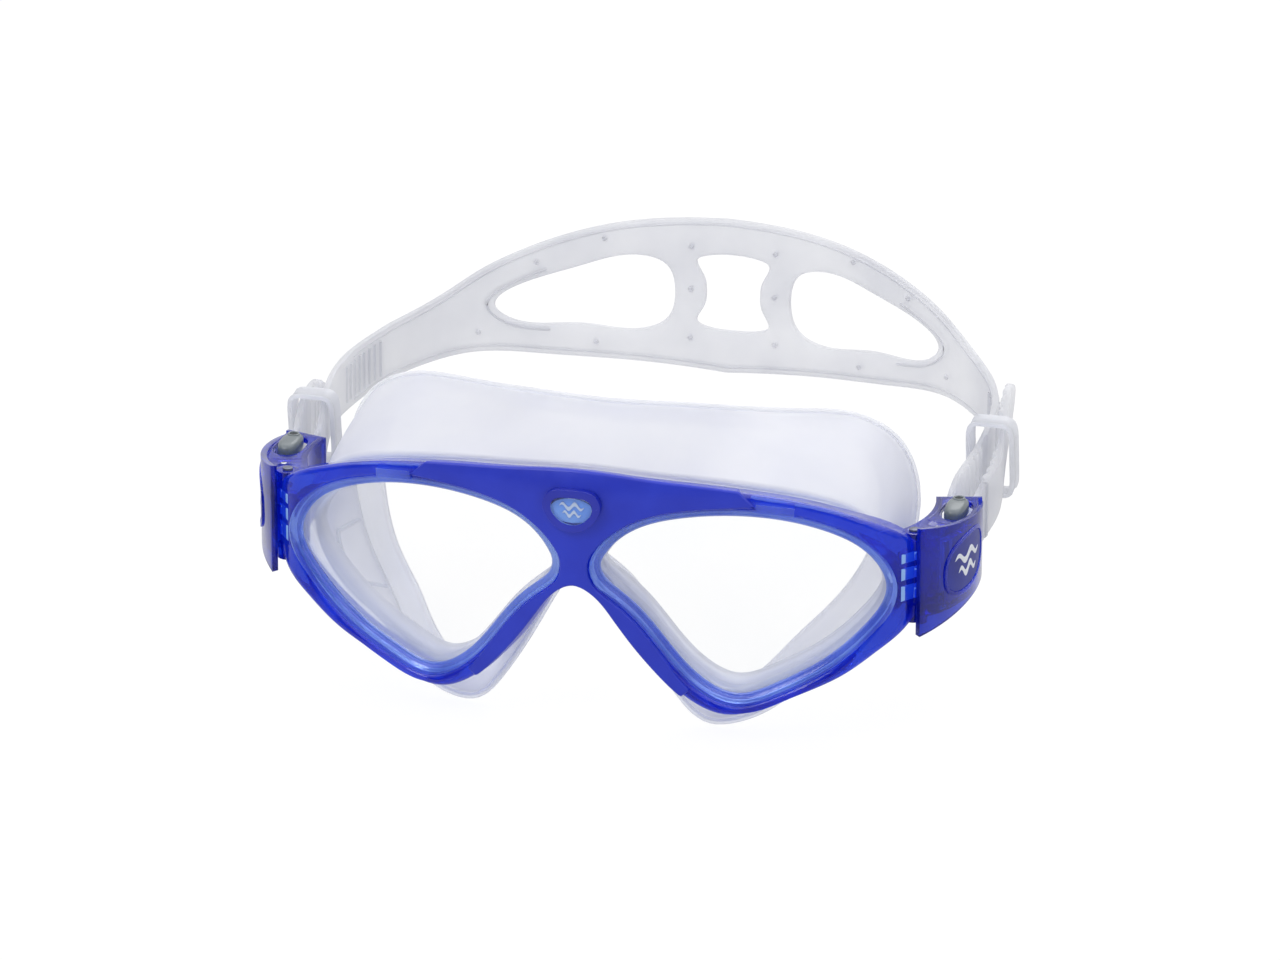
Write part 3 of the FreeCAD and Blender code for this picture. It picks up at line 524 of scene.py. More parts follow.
def eye_outline():
    """Edge of the lens in its own plane, read from the back rim of the CAD lens."""
    seen = set()
    for vert in nodes["lens_left"].data.vertices:
        x, y, z = (c / MM for c in vert.co)
        u = COS * x + SIN * (y - LENS_Y)
        w = -SIN * x + COS * (y - LENS_Y)
        if w > 2.5:
            seen.add((round(u, 3), round(z, 3)))
    pts = np.array(sorted(seen))
    turn = np.arctan2(pts[:, 1] + 23.0, pts[:, 0] - 40.0)
    return even(pts[np.argsort(turn)], 1.5, closed=True)


EYE = eye_outline()
AHEAD = np.roll(EYE, -1, axis=0) - np.roll(EYE, 1, axis=0)
OUTWARD = np.stack([AHEAD[:, 1], -AHEAD[:, 0]], axis=1)
OUTWARD /= np.linalg.norm(OUTWARD, axis=1)[:, None]
LENS_RIM = 1.5


def eye_loop(offset):
    return EYE + OUTWARD * (offset - LENS_RIM)


def eye_sweep(name, profile, side):
    """A bead round one eye opening from a closed profile of (offset, depth) pairs."""
    place = eye_place(side)
    loops = [place(*eye_loop(offset).T, np.full(len(EYE), depth)) for offset, depth in profile]
    rows = np.stack(loops, axis=1)
    return grid(name, rows, close_rows=True, close_columns=True)


# ---------------------------------------------------------------- hard pieces

def hard_pieces():
    finishes = {
        "badge_rim": (BADGE_BLUE, 0.4), "badge_window": (WINDOW_BLUE, 0.0), "lens": (LENS, 0.0),
        "buckle": (BUCKLE_BLUE, 0.35), "hinge_pin": (DARK_STEEL, 0.15), "lever_pin": (STEEL, 0.1),
        "lever_spring": (STEEL, 0.0), "strap_roller": (STEEL, 0.15),
    }
    for base, (made, width) in finishes.items():
        for name in (base, base + "_left", base + "_right"):
            if name in nodes:
                paint(nodes[name], made)
                if width:
                    soften(nodes[name], width)


FRAME_TOP = [(0, 8.8), (14, 7.5), (28, 6.1), (42, 4.5), (55, 2.3), (66, -0.8), (74, -4.4), (79, -10)]
FRAME_LOW = [(79.6, -18.5), (77, -27.8), (71, -33.8), (62, -40.7), (50, -46.9), (42, -50.3), (34.8, -51.4),
             (27.5, -48.4), (19, -40.4), (9.5, -27.7), (4.2, -20.7), (0, -18.9)]
RIM_FRONT, RIM_REAR = -3.4, 6.5
SHELL_ROUND = 1.8
TEMPLE_FRONT = [(60, 13.45), (66, 14.68), (71, 16.1), (75.2, 18.4), (77.6, 21.0), (79, 23.4), (80.4, 26.4)]
TEMPLE_BACK = [(60, 23.56), (66, 24.8), (70, 25.6), (73.4, 26.0), (77, 26.6), (80.4, 27.6)]


def shell_place(x, z, w):
    """Lays the flat frame outline on the swept front, with its ends turned back to the hinges."""
    away = np.sqrt(x * x + 16.0)
    depth = (w - RIM_FRONT) / (RIM_REAR - RIM_FRONT)
    front = np.where(away < 60, LENS_Y + RIM_FRONT / COS + SLOPE * away, through(TEMPLE_FRONT, away))
    back = np.where(away < 60, LENS_Y + RIM_REAR / COS + SLOPE * away, through(TEMPLE_BACK, away))
    lean = smoothstep(4, 12, away) * (1 - smoothstep(60, 72, away))
    brow = smoothstep(-14, 2, z) * np.clip(depth, 0, 1) * 2.6
    front = front + 0.035 * np.clip(z - 2.2, 0, 8) ** 2
    return np.stack([x - np.sign(x) * SIN * w * lean, front + (back - front) * depth, z - brow], axis=1)


def eye_xz(side, offset):
    """An eye loop in the frame's front view, at the lens plane."""
    loop = eye_loop(offset)
    return np.stack([side * COS * loop[:, 0], loop[:, 1]], axis=1)


def grown_outline(out, spacing):
    """The frame's outer edge in front view, moved outward a little."""
    line = even(spline(whole(FRAME_TOP + FRAME_LOW), 800, closed=True), spacing, closed=True)
    ahead = np.roll(line, -1, axis=0) - np.roll(line, 1, axis=0)
    ahead /= np.linalg.norm(ahead, axis=1)[:, None]
    return line + np.stack([-ahead[:, 1], ahead[:, 0]], axis=1) * out


def frame_shell():
    loops = [grown_outline(0.3, 1.4), eye_xz(1, 2.15), eye_xz(-1, 2.15)]
    shell = plate("frame_shell", loops, RIM_FRONT, RIM_REAR, SHELL_ROUND, shell_place,
                  np.arange(-78, 79, 1.5), rounds=5, levels=np.arange(-48, 10, 2.0))
    flat_faces(shell)
    finish_piece(shell, FRAME_BLUE, "root", "frame_plastic", "frame")
    for side, word in ((1, "left"), (-1, "right")):
        low, high = (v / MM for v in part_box("hinge_pin_" + word))
        x, y = 0.5 * (low.x + high.x), 0.5 * (low.y + high.y)
        parts = []
        for top in (-10.6, -19.6):
            parts.append(turned("knuckle", x, y, [(1.25, top), (2.3, top), (2.7, top - 0.4), (2.7, top - 3.8),
                                                  (2.3, top - 4.2), (1.25, top - 4.2)]))
            web = [(x - side * 4.5, y - 1.2), (x - side * 4.5, y + 2.0), (x - side * 0.6, y + 2.2),
                   (x - side * 0.2, y - 2.3)]
            parts.append(block("knuckle_web", web, top - 4.0, top - 0.2))
        finish_piece(join("frame_knuckles_" + word, parts), FRAME_BLUE, "root", "frame_plastic")
        # Pale blue patches on the hinge lug: painted highlights for the light seen through the clear plastic round
        # the knuckles.
        light_patches = []
        for middle, half in ((-11.4, 1.2), (-15.4, 1.5), (-20.2, 1.9)):
            corners = [(side * a, middle + b) for a, b in ((75.6, -half), (78.6, -half), (78.6, half), (75.6, half))]
            light_patches.append(plate("light_patch", [np.array(corners)], RIM_FRONT - 0.25, RIM_FRONT + 1.2, 0.2, shell_place))
        finish_piece(join("temple_light_patches_" + word, light_patches), PALE_BLUE, "root", "frame_plastic")


def turned(name, x, y, profile, sides=28):
    """A ring turned about an upright axis from (radius, height) pairs."""
    turns = np.linspace(0, 2 * math.pi, sides, endpoint=False)
    rows = [[(x + r * math.cos(t), y + r * math.sin(t), z) for r, z in profile] for t in turns]
    return grid(name, rows, close_rows=True, close_columns=True)


def block(name, plan, low, high):
    """An upright block over a plan outline."""
    count = len(plan)
    verts = [(x, y, z) for z in (low, high) for x, y in plan]
    faces = [tuple(range(count)), tuple(range(count, 2 * count))]
    faces += [(k, (k + 1) % count, count + (k + 1) % count, count + k) for k in range(count)]
    return put(name, verts, faces, smooth=False)


def cover():
    """The satin skin on the bridge: brow arms, waist and a leg down each side of the nose."""
    edge = grown_outline(0.55, 0.7)
    right = edge[edge[:, 0] >= 0]
    brow = right[(right[:, 1] > -2) & (right[:, 0] < COVER_END)]
    brow = brow[np.argsort(brow[:, 0])]
    nose = right[(right[:, 1] < -15) & (right[:, 0] < LEG_END)]
    nose = nose[np.argsort(nose[:, 0])]
    turn = np.arctan2(EYE[:, 1] + 23.0, EYE[:, 0] - 40.0) % (2 * math.pi)
    order = np.argsort(turn)
    turn, rim, out = np.degrees(turn[order]), EYE[order], OUTWARD[order]
    gap = 2.6 + 0.5 * smoothstep(110, 84, turn) + 0.8 * smoothstep(215, LEG_TURN, turn)
    loop = rim + out * (gap - LENS_RIM)[:, None]
    beside = loop[(turn > 80) & (turn < LEG_TURN)] * np.array([COS, 1.0])
    half = np.vstack([brow, beside, nose[::-1]])
    other = half[::-1] * np.array([-1, 1])
    outline = even(np.vstack([half, other[1:-1]]), 0.8, closed=True)
    skin = plate("bridge_skin", [outline], RIM_FRONT - 0.5, RIM_FRONT + 4.5, COVER_ROUND, shell_place,
                 np.arange(-41, 42, 1.2), rounds=4, levels=np.arange(-46, 9, 1.2))
    flat_faces(skin)
    finish_piece(skin, COVER_BLUE, "root", "cover_plastic", "bridge_cover")


COVER_END, LEG_END, LEG_TURN, COVER_ROUND = 38.0, 25.0, 241, 0.6


def ring(side, word):
    profile = [(1.95, -0.1), (2.0, -1.3), (2.7, -2.45), (2.3, -2.7), (1.6, -2.55), (0.7, -1.9), (0.1, -1.2),
               (0.0, -0.7), (0.0, -0.1)]
    bead = eye_sweep("ring_bead_" + word, profile, side)
    place = eye_place(side)
    parts = [bead]
    for u, v, degrees in ((47.0, 1.2, -5.0),):
        turn = math.radians(degrees)
        along = np.array([math.cos(turn), math.sin(turn)])
        out = np.array([-along[1], along[0]])
        corners = [np.array([u, v]) + along * a + out * b
                   for a, b in ((-4.6, -1.3), (4.6, -1.3), (4.6, 0.9), (-4.6, 0.9))]
        parts.append(plate("tab", [np.array(corners)], -3.7, -1.0, 0.15, place))
    whole_ring = join("lens_ring_" + word, parts)
    finish_piece(whole_ring, RING_BLUE, "root", "ring_plastic", "retaining_ring_" + word)


def wave_loop(wide, tall, count=40):
    """A drop with a wave under it, as one closed outline: the maker-neutral mark."""
    turn = np.linspace(0, 2 * math.pi, count, endpoint=False)
    u = 0.5 * wide * np.sin(turn) * (0.62 + 0.38 * np.cos(turn / 2) ** 2)
    v = 0.5 * tall * np.cos(turn)
    return np.stack([u, v], axis=1)


def wave_band(wide, tall, middle, count=28):
    """A rising and falling band: one wave."""
    u = np.linspace(-0.5 * wide, 0.5 * wide, count)
    rise = middle + 0.5 * tall * np.sin(u / wide * 4 * math.pi)
    taper = 0.42 * tall * np.cos(u / wide * math.pi) ** 0.5
    top = np.stack([u, rise + taper], axis=1)
    low = np.stack([u, rise - taper], axis=1)[::-1]
    return np.vstack([top, low[1:-1]])


def badge_mark():
    low, high = (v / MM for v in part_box("badge_emblem"))
    middle = 0.5 * (low.z + high.z)
    wide = high.x - low.x

    def place(u, v, w):
        return np.stack([u, low.y - w, middle + v], axis=1)
    bands = [wave_band(wide * 0.66, 1.3, 1.15), wave_band(wide * 0.5, 1.1, -0.75)]
    mark = join("badge_mark", [plate("wave_%d" % k, [band], -0.2, 0.12, 0.06, place)
                               for k, band in enumerate(bands)])
    finish_piece(mark, SILVER, "root", "emblem_metal", "badge_emblem")
    turn = np.linspace(0, 2 * math.pi, 48, endpoint=False)
    oval = np.stack([0.5 * (wide + 1.6) * np.cos(turn), 0.5 * (high.z - low.z + 0.4) * np.sin(turn)], axis=1)
    backing = plate("badge_backing", [oval], -0.6, -0.22, 0.05, place)
    finish_piece(backing, PALE_BLUE, "root", "badge_plastic")


# ---------------------------------------------------------------- skirt

STATIONS = [
    ((0, 7.2), (0, 33.5, 16.0)), ((15, 5.9), (16, 35.5, 15.8)), ((30, 4.5), (31, 48, 11.6)),
    ((44, 2.7), (45, 57, 9.2)), ((57, 0.2), (57, 58, 8.4)), ((65.6, -3.6), (66, 58, 3.0)),
    ((70.2, -10.6), (70.6, 57, -8)), ((71, -19.4), (69.6, 54, -21)), ((68.4, -28), (64, 47.5, -33)),
    ((61.4, -36.4), (54, 38, -45)), ((51, -42.6), (43, 22.5, -54)), ((42, -47.0), (34.5, 18.8, -57)),
    ((34.8, -49.6), (28, 17.8, -56.6)), ((28.2, -45.8), (21, 16.6, -49)), ((19.8, -37.4), (14.5, 16.8, -38.5)),
    ((10.6, -25.2), (8, 17.2, -26.6)), ((4.2, -17.6), (3.5, 17.4, -21.4)), ((0, -15.9), (0, 17.4, -20.2)),
]
LIP = [5, 5, 6, 8, 9, 9, 9, 9, 9, 9, 8.5, 8, 7, 6.5, 6, 5, 4.5, 4.5]
RIM_BACK = 6.9


def whole(points):
    points = [tuple(p) for p in points]
    return points + [(-p[0],) + p[1:] for p in reversed(points[1:-1])]


def skirt():
    bridge = 6.0
    back = LENS_Y + RIM_BACK / COS
    front = whole([(x, back + SLOPE * max(x, bridge), z) for (x, z), seal in STATIONS])
    seal = whole([seal for edge, seal in STATIONS])
    reach = [(r,) for r in LIP] + [(r,) for r in reversed(LIP[1:-1])]
    both = spline([f + s + r for f, s, r in zip(front, seal, reach)], 360, closed=True)
    near, far, lip = both[:, :3], both[:, 3:6], both[:, 6:7]
    around = np.roll(far, -1, axis=0) - np.roll(far, 1, axis=0) + np.roll(near, -1, axis=0) - np.roll(near, 1, axis=0)
    wall = far - near
    inward = np.cross(wall, around)
    inward /= np.linalg.norm(inward, axis=1)[:, None]
    along_wall = wall / np.linalg.norm(wall, axis=1)[:, None]
    middle = np.array([0.0, 45.0, -20.0])
    to_face = middle - far
    to_face -= (to_face * along_wall).sum(1)[:, None] * along_wall
    to_face /= np.linalg.norm(to_face, axis=1)[:, None]
    rows = []
    for s in np.linspace(0, 1, 22):
        swell = 1.0 * np.sin(math.pi * s) * np.clip(np.linalg.norm(wall, axis=1)[:, None] / 25.0, 0.15, 1)
        rows.append(near + wall * s - inward * swell * 0.6)
    for s in np.linspace(0.12, 1, 9):
        bend = math.sin(min(s * 2.2, 1.0) * math.pi / 2)
        step = lip * s
        rows.append(far + to_face * step + along_wall * (0.9 * bend - 2.4 * s * s))
    body = grid("skirt_wall", list(np.stack(rows)), close_columns=True)
    solid = body.modifiers.new("wall", "SOLIDIFY")
    solid.thickness = 1.3 * MM
    solid.offset = 1.0 if outward_sign(body) else -1.0
    finish_piece(body, SKIRT_CLEAR, "root", "skirt_silicone", "skirt")
    edge = even(far, 1.6, closed=True)
    rim = tube("skirt_seal_edge", edge, 0.75, 8, closed=True)
    finish_piece(rim, SEAL_CLEAR, "root", "skirt_silicone")
    skirt_front(near)
    skirt_ribs(near, far, inward)


def outward_sign(body):
    """True if the skirt's faces look inwards, so that its thickness goes inwards."""
    mesh = body.data
    low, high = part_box("skirt")
    centre = 0.5 * (low + high)
    total = sum((p.center - centre).dot(p.normal) * p.area for p in mesh.polygons)
    return total < 0


def skirt_front(near):
    """The flat web behind the frame and the soft collar round each lens."""
    for side, word in ((1, "left"), (-1, "right")):
        profile = [(1.9, 2.75), (1.9, 3.7), (0.95, 4.1), (0.9, 10.4), (0.4, 10.9), (-0.4, 10.9), (-0.9, 10.4),
                   (-0.9, 3.2), (-0.6, 2.8), (0.6, 2.75)]
        collar = eye_sweep("lens_collar_" + word, profile, side)
        finish_piece(collar, SEAL_CLEAR, "root", "skirt_silicone")
    outline = even(near, 1.8, closed=True)[:, [0, 2]] * np.array([0.985, 0.98])
    holes = []
    for side in (1, -1):
        loop = eye_place(side)(*eye_loop(0.2).T, np.full(len(EYE), 8.0))
        holes.append(loop[:, [0, 2]])
    back = LENS_Y + 7.2 / COS

    def place(u, v, w):
        bend = np.maximum(np.abs(u), 4.0 + np.abs(u) * 0.3)
        return np.stack([u, back + SLOPE * bend + w, v], axis=1)
    web = plate("skirt_web", [outline] + holes, 0.0, 1.4, 0.3, place, np.arange(-9, 10, 1.5))
    finish_piece(web, SKIRT_CLEAR, "root", "skirt_silicone")


def skirt_ribs(near, far, inward):
    """Stiffening ribs inside the side walls, drawn as a U with its open end at the seal."""
    count = len(near)
    for sign, word in ((1, "left"), (-1, "right")):
        ribs = []
        for k, (start, end, deep) in enumerate([(0.245, 0.285, 0.28), (0.305, 0.345, 0.34)]):
            path = []
            for t in np.linspace(0, 1, 40):
                if t < 0.35:
                    at, s = start, 0.86 - (0.86 - deep - 0.1) * t / 0.35
                elif t > 0.65:
                    at, s = end, deep + 0.1 + (0.86 - deep - 0.1) * (t - 0.65) / 0.35
                else:
                    turn = math.pi * (t - 0.35) / 0.3
                    at = start + (end - start) * (1 - math.cos(turn)) / 2
                    s = deep + 0.1 - 0.1 * math.sin(turn)
                index = at * count
                i, f = int(index) % count, index % 1
                j = (i + 1) % count
                n = near[i] * (1 - f) + near[j] * f
                m = far[i] * (1 - f) + far[j] * f
                point = n + (m - n) * s + inward[i] * 1.3
                path.append((sign * point[0], point[1], point[2]))
            ribs.append(tube("rib_%s_%d" % (word, k), path, 0.55, 8))
        finish_piece(join("skirt_ribs_" + word, ribs), SEAL_CLEAR, "root", "skirt_silicone")


# ---------------------------------------------------------------- straps

STRAP_PLAN = [(79.6, 60.5), (81.4, 70), (82.2, 80), (81.4, 92.5), (79, 104.5), (74.2, 115.5), (67.2, 124.6),
              (58, 132.3), (45, 140.4), (27.2, 147.4), (0, 151)]
ARM_TOP = [(58, -6.2), (63, -4.2), (69, -2.7), (76, -1.2), (82, -0.3), (90, 0.3), (100, 0.5), (112, 1.2)]
ARM_LOW = [(112, -12.9), (100, -13.7), (90, -14.0), (76, -14.4), (69, -15.6), (63, -17.2), (58, -19.4)]
PANEL_TOP = [(82, 1.0), (76, 1.6), (71, 3.2), (66, 5.8), (60, 9.6), (52, 13.4), (46, 15.6), (27, 20.3), (0, 22.4)]
PANEL_LOW = [(0, -18.6), (27, -16.2), (46, -13.8), (62, -11.4), (75, -12.7), (82, -13.2)]
TAILS = {
    "left": ([(85.6, 60.5), (87.4, 67), (86.6, 78), (85.8, 93)],
             [(58, -8.2), (68, -3.4), (78, 0.6), (82, 2.6), (87, 6.4), (93.5, 10.6)],
             [(93.5, 1.6), (88, -3.4), (78, -12.2), (68, -17.4), (58, -22.6)]),
    "right": ([(85.6, 60.5), (86.4, 70), (85.6, 82)],
              [(58, -7.6), (64, -4.6), (70, -2.9), (77, -2.2), (82.5, -4.0)],
              [(82.5, -9.4), (78, -14.0), (70, -16.4), (64, -17.8), (58, -20.8)]),
}
SIDE_HOLE = [(15.0, 2.0), (17.2, 9.4), (24.5, 11.8), (40, 8.6), (57.4, -0.4), (54.5, -3.4), (38, -6.4),
             (23.5, -8.0), (17.2, -5.2)]
MIDDLE_HOLE = [(0, 13.0), (6.5, 12.4), (9.3, 11.2), (7.6, 6.5), (7.0, 2.8), (7.6, -1.2), (9.3, -5.4),
               (6.5, -6.8), (0, -7.3)]
STRAP_THICK = 1.6
STRAP_SHIFT = 1.5
JOIN_Y = {"left": 78.0, "right": 66.0}


class Plan:
    """A plan line that can be asked for a place at any distance along it."""

    def __init__(self, points, count=600):
        self.line = even(spline(points, count), 0.25)
        steps = np.linalg.norm(np.diff(self.line, axis=0), axis=1)
        self.run = np.concatenate([[0.0], np.cumsum(steps)])
        along = np.gradient(self.line, axis=0)
        along /= np.linalg.norm(along, axis=1)[:, None]
        self.out = np.stack([along[:, 1], -along[:, 0]], axis=1)

    def at(self, s):
        return np.stack([np.interp(s, self.run, self.line[:, k]) for k in (0, 1)], axis=1)

    def outward(self, s):
        side = np.stack([np.interp(s, self.run, self.out[:, k]) for k in (0, 1)], axis=1)
        return side / np.linalg.norm(side, axis=1)[:, None]


def round_strap_edges(s, x, y):
    """Top and low edge of the head strap at each place."""
    arm = smoothstep(104, 113, y)
    top = (1 - arm) * through(ARM_TOP, y) + arm * through(PANEL_TOP, np.abs(x))
    low = (1 - arm) * through(ARM_LOW, y) + arm * through(PANEL_LOW, np.abs(x))
    return top, low


def head_strap():
    mirror = [(-x, y) for x, y in reversed(STRAP_PLAN[:-1])]
    plan = Plan(STRAP_PLAN + mirror)
    total = plan.run[-1]
    first = np.interp(JOIN_Y["left"], plan.line[:400, 1], plan.run[:400])
    last_part = plan.line[::-1][:400]
    last = total - np.interp(JOIN_Y["right"], last_part[:, 1], plan.run[:400])
    s = np.linspace(first, last, 260)
    place_xy = plan.at(s)
    top, low = round_strap_edges(s, place_xy[:, 0], place_xy[:, 1])
    outline = np.vstack([np.stack([s, top], axis=1), np.stack([s, low], axis=1)[::-1]])

    def across(x):
        """Distance along the strap of a given X on the back panel."""
        half = (plan.line[:, 1] > 108)
        return np.interp(-x, -plan.line[half][:, 0], plan.run[half])
    holes = []
    for sign in (1, -1):
        loop = spline([(sign * x + STRAP_SHIFT, z) for x, z in SIDE_HOLE], 90, closed=True)
        holes.append(np.stack([across(loop[:, 0]), loop[:, 1]], axis=1))
    whole_middle = MIDDLE_HOLE + [(-x, z) for x, z in reversed(MIDDLE_HOLE[1:-1])]
    loop = spline([(x + STRAP_SHIFT, z) for x, z in whole_middle], 90, closed=True)
    holes.append(np.stack([across(loop[:, 0]), loop[:, 1]], axis=1))

    def place(u, v, w):
        xy = plan.at(u) - plan.outward(u) * w[:, None]
        return np.stack([xy[:, 0], xy[:, 1], v], axis=1)
    half = STRAP_THICK / 2
    strap = plate("head_strap_band", [outline] + holes, -half, half, 0.45, place,
                  np.arange(first + 2, last - 1, 2.4), rounds=3)
    finish_piece(strap, STRAP_CLEAR, "root", "strap_silicone", "head_strap")
    strap_details(plan, place, across, first, last, half, holes)


def strap_details(plan, place, across, first, last, half, holes):
    """Raised edge lines, pads round the outer hole ends, and small pips."""
    parts = []
    s = np.linspace(first + 26, last - 26, 240)
    xy = plan.at(s)
    top, low = round_strap_edges(s, xy[:, 0], xy[:, 1])
    for face in (-half, half):
        for height in (top - 1.5, low + 1.5):
            parts.append(tube("edge_line", place(s, height, np.full(len(s), face)), 0.22, 6))
    for face in (-half, half):
        for loop, sign in ((holes[0], 1), (holes[1], -1)):
            middle = loop.mean(axis=0)
            away = loop - middle
            size = np.linalg.norm(away, axis=1)[:, None]
            wide = loop + away / size * 2.3
            tip = sign * (loop[:, 0] - middle[0]) < -8.5
            order = np.argsort(np.arctan2(-away[:, 1], sign * -away[:, 0]))
            kept = wide[order][tip[order]]
            parts.append(tube("hole_pad", place(kept[:, 0], kept[:, 1], np.full(len(kept), face)), 0.3, 6))
    pips = [(x, z) for x, z in ((12.6, 14.6), (-9.4, 14.6), (12.6, -9.6), (-9.6, -9.8), (12.4, 3.0), (-9.5, 3.2),
                                (34, 16.2), (-31, 16.2), (36, -11.2), (-33, -11.4), (50, 10.6), (-47, 10.8),
                                (62, -6.0), (-60, -6.2))]
    for face in (-half, half):
        for x, z in pips:
            centre = place(across(np.array([float(x)])), np.array([z]), np.array([face]))[0]
            parts.append(pip(centre, 0.75))
    for start in (first + 12, last - 40):
        for at in start + 2.7 * np.arange(8):
            x_y = plan.at(np.array([at]))
            top, low = round_strap_edges(at, x_y[:, 0], x_y[:, 1])
            heights = np.linspace(low[0] + 2.4, top[0] - 2.4, 6)
            for face in (-half, half):
                parts.append(tube("rib", place(np.full(6, at), heights, np.full(6, face)), 0.5, 6))
    details = join("head_strap_relief", parts)
    finish_piece(details, STRAP_CLEAR, "root", "strap_silicone")


def pip(centre, radius):
    """A small round pip."""
    ball = bmesh.new()
    bmesh.ops.create_icosphere(ball, subdivisions=2, radius=radius * MM)
    for vert in ball.verts:
        vert.co = vert.co * 0.9 + Vector([float(c) * MM for c in centre])
    mesh = bpy.data.meshes.new("pip")
    ball.to_mesh(mesh)
    ball.free()
    obj = bpy.data.objects.new("pip", mesh)
    bpy.context.scene.collection.objects.link(obj)
    return obj


ARC_X, ARC_Y, ARC_MIDDLE, ARC_OUTER, FOLD = 47.5, 44.7, 35.4, 41.0, 2.85
ROLLER_ANGLE = -18.5


def arc_xy(radius, degrees):
    turn = np.radians(degrees)
    return np.stack([ARC_X + radius * np.cos(turn), ARC_Y + radius * np.sin(turn)], axis=-1)


def strap_end(side, sign):
    """One long ribbon: from the head strap into the buckle, round the roller and out to the free end."""
    tail_plan, tail_top, tail_low = TAILS[side]
    join_y = JOIN_Y[side]
    head = Plan([(x, y) for x, y in STRAP_PLAN])
    start = np.interp(join_y, head.line[:400, 1], head.run[:400])
    inner = head.at(np.linspace(start, 0, 40))
    into = arc_xy(ARC_MIDDLE - FOLD, np.linspace(9, ROLLER_ANGLE, 22))
    roller = arc_xy(ARC_MIDDLE, ROLLER_ANGLE)
    turn = np.radians(np.linspace(180 + ROLLER_ANGLE, 360 + ROLLER_ANGLE, 16)[1:-1])
    fold = roller + FOLD * np.stack([np.cos(turn), np.sin(turn)], axis=1)
    out = arc_xy(ARC_MIDDLE + FOLD, np.linspace(ROLLER_ANGLE, 12, 24))
    tail = spline(tail_plan, 80)
    gap_in = spline([inner[-6], inner[-1], into[0], into[4]], 40)[8:34]
    gap_out = spline([out[-5], out[-1], tail[0], tail[10]], 40)[8:34]
    line = np.vstack([inner[:-1], gap_in, into[1:], fold, out[:-1], gap_out, tail[1:]])
    line = even(line, 0.45)
    turn_index = int(np.argmin(line[:, 1]))
    y = line[:, 1]
    inside_top, inside_low = -10.7, -24.9
    kept = smoothstep(46, 61, y)
    arm_top, arm_low = through(ARM_TOP, y), through(ARM_LOW, y)
    outer_top, outer_low = through(tail_top, y), through(tail_low, y)
    index = np.arange(len(line))
    outer = index > turn_index
    top = np.where(outer, outer_top, arm_top) * kept + inside_top * (1 - kept)
    low = np.where(outer, outer_low, arm_low) * kept + inside_low * (1 - kept)
    tip = np.clip((index - (len(line) - 16)) / 15.0, 0, 1)
    squeeze = (1 - np.sqrt(np.clip(1 - tip * tip, 0, 1))) * 0.45
    middle, tall = 0.5 * (top + low), top - low
    top, low = middle + tall * (0.5 - squeeze), middle - tall * (0.5 - squeeze)
    along = np.gradient(line, axis=0)
    along /= np.linalg.norm(along, axis=1)[:, None]
    normal = np.stack([along[:, 1], -along[:, 0]], axis=1)
    half = STRAP_THICK / 2
    run = np.concatenate([[0.0], np.cumsum(np.linalg.norm(np.diff(line, axis=0), axis=1))])
    wave = np.clip(2.5 * np.sin(run * 2 * math.pi / 2.6), -1, 1)
    free = smoothstep(4.0, 6.0, np.abs(y - join_y))
    ridge = 0.38 * (wave + 1) * smoothstep(60, 63, y) * smoothstep(96, 92, y) * free
    rows = []
    for k in range(len(line)):
        thick = half + ridge[k]
        section = [(-half, low[k] + 0.4), (-half, top[k] - 0.4), (-half + 0.4, top[k]), (thick - 0.4, top[k]),
                   (thick, top[k] - 0.5), (thick, low[k] + 0.5), (thick - 0.4, low[k]), (-half + 0.4, low[k])]
        row = []
        for w, z in section:
            x, y_at = line[k] - normal[k] * w
            row.append((sign * x, y_at, z))
        rows.append(row)
    band = grid("strap_end_" + side, rows, close_columns=True, caps=True)
    shade(band, 40)
    stands_for = ["strap_loop_" + side, "strap_tail_" + side]
    paint(band, END_CLEAR)
    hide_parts(*stands_for)
    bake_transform(band)
    strap_teeth(side, sign)


def strap_teeth(side, sign):
    """Cross ribs on the strap's layer inside the buckle."""
    parts = []
    for degrees in np.arange(-14, 12, 3.4):
        for radius in (ARC_MIDDLE + FOLD - 0.8, ARC_MIDDLE - FOLD + 0.8):
            x, y = arc_xy(radius, degrees)
            path = [(sign * x, y, z) for z in np.linspace(-23.6, -12.0, 5)]
            parts.append(tube("tooth", path, 0.45, 6))
    finish_piece(join("strap_teeth_" + side, parts), END_CLEAR, "buckle_" + side, "strap_silicone")


# ---------------------------------------------------------------- buckle details

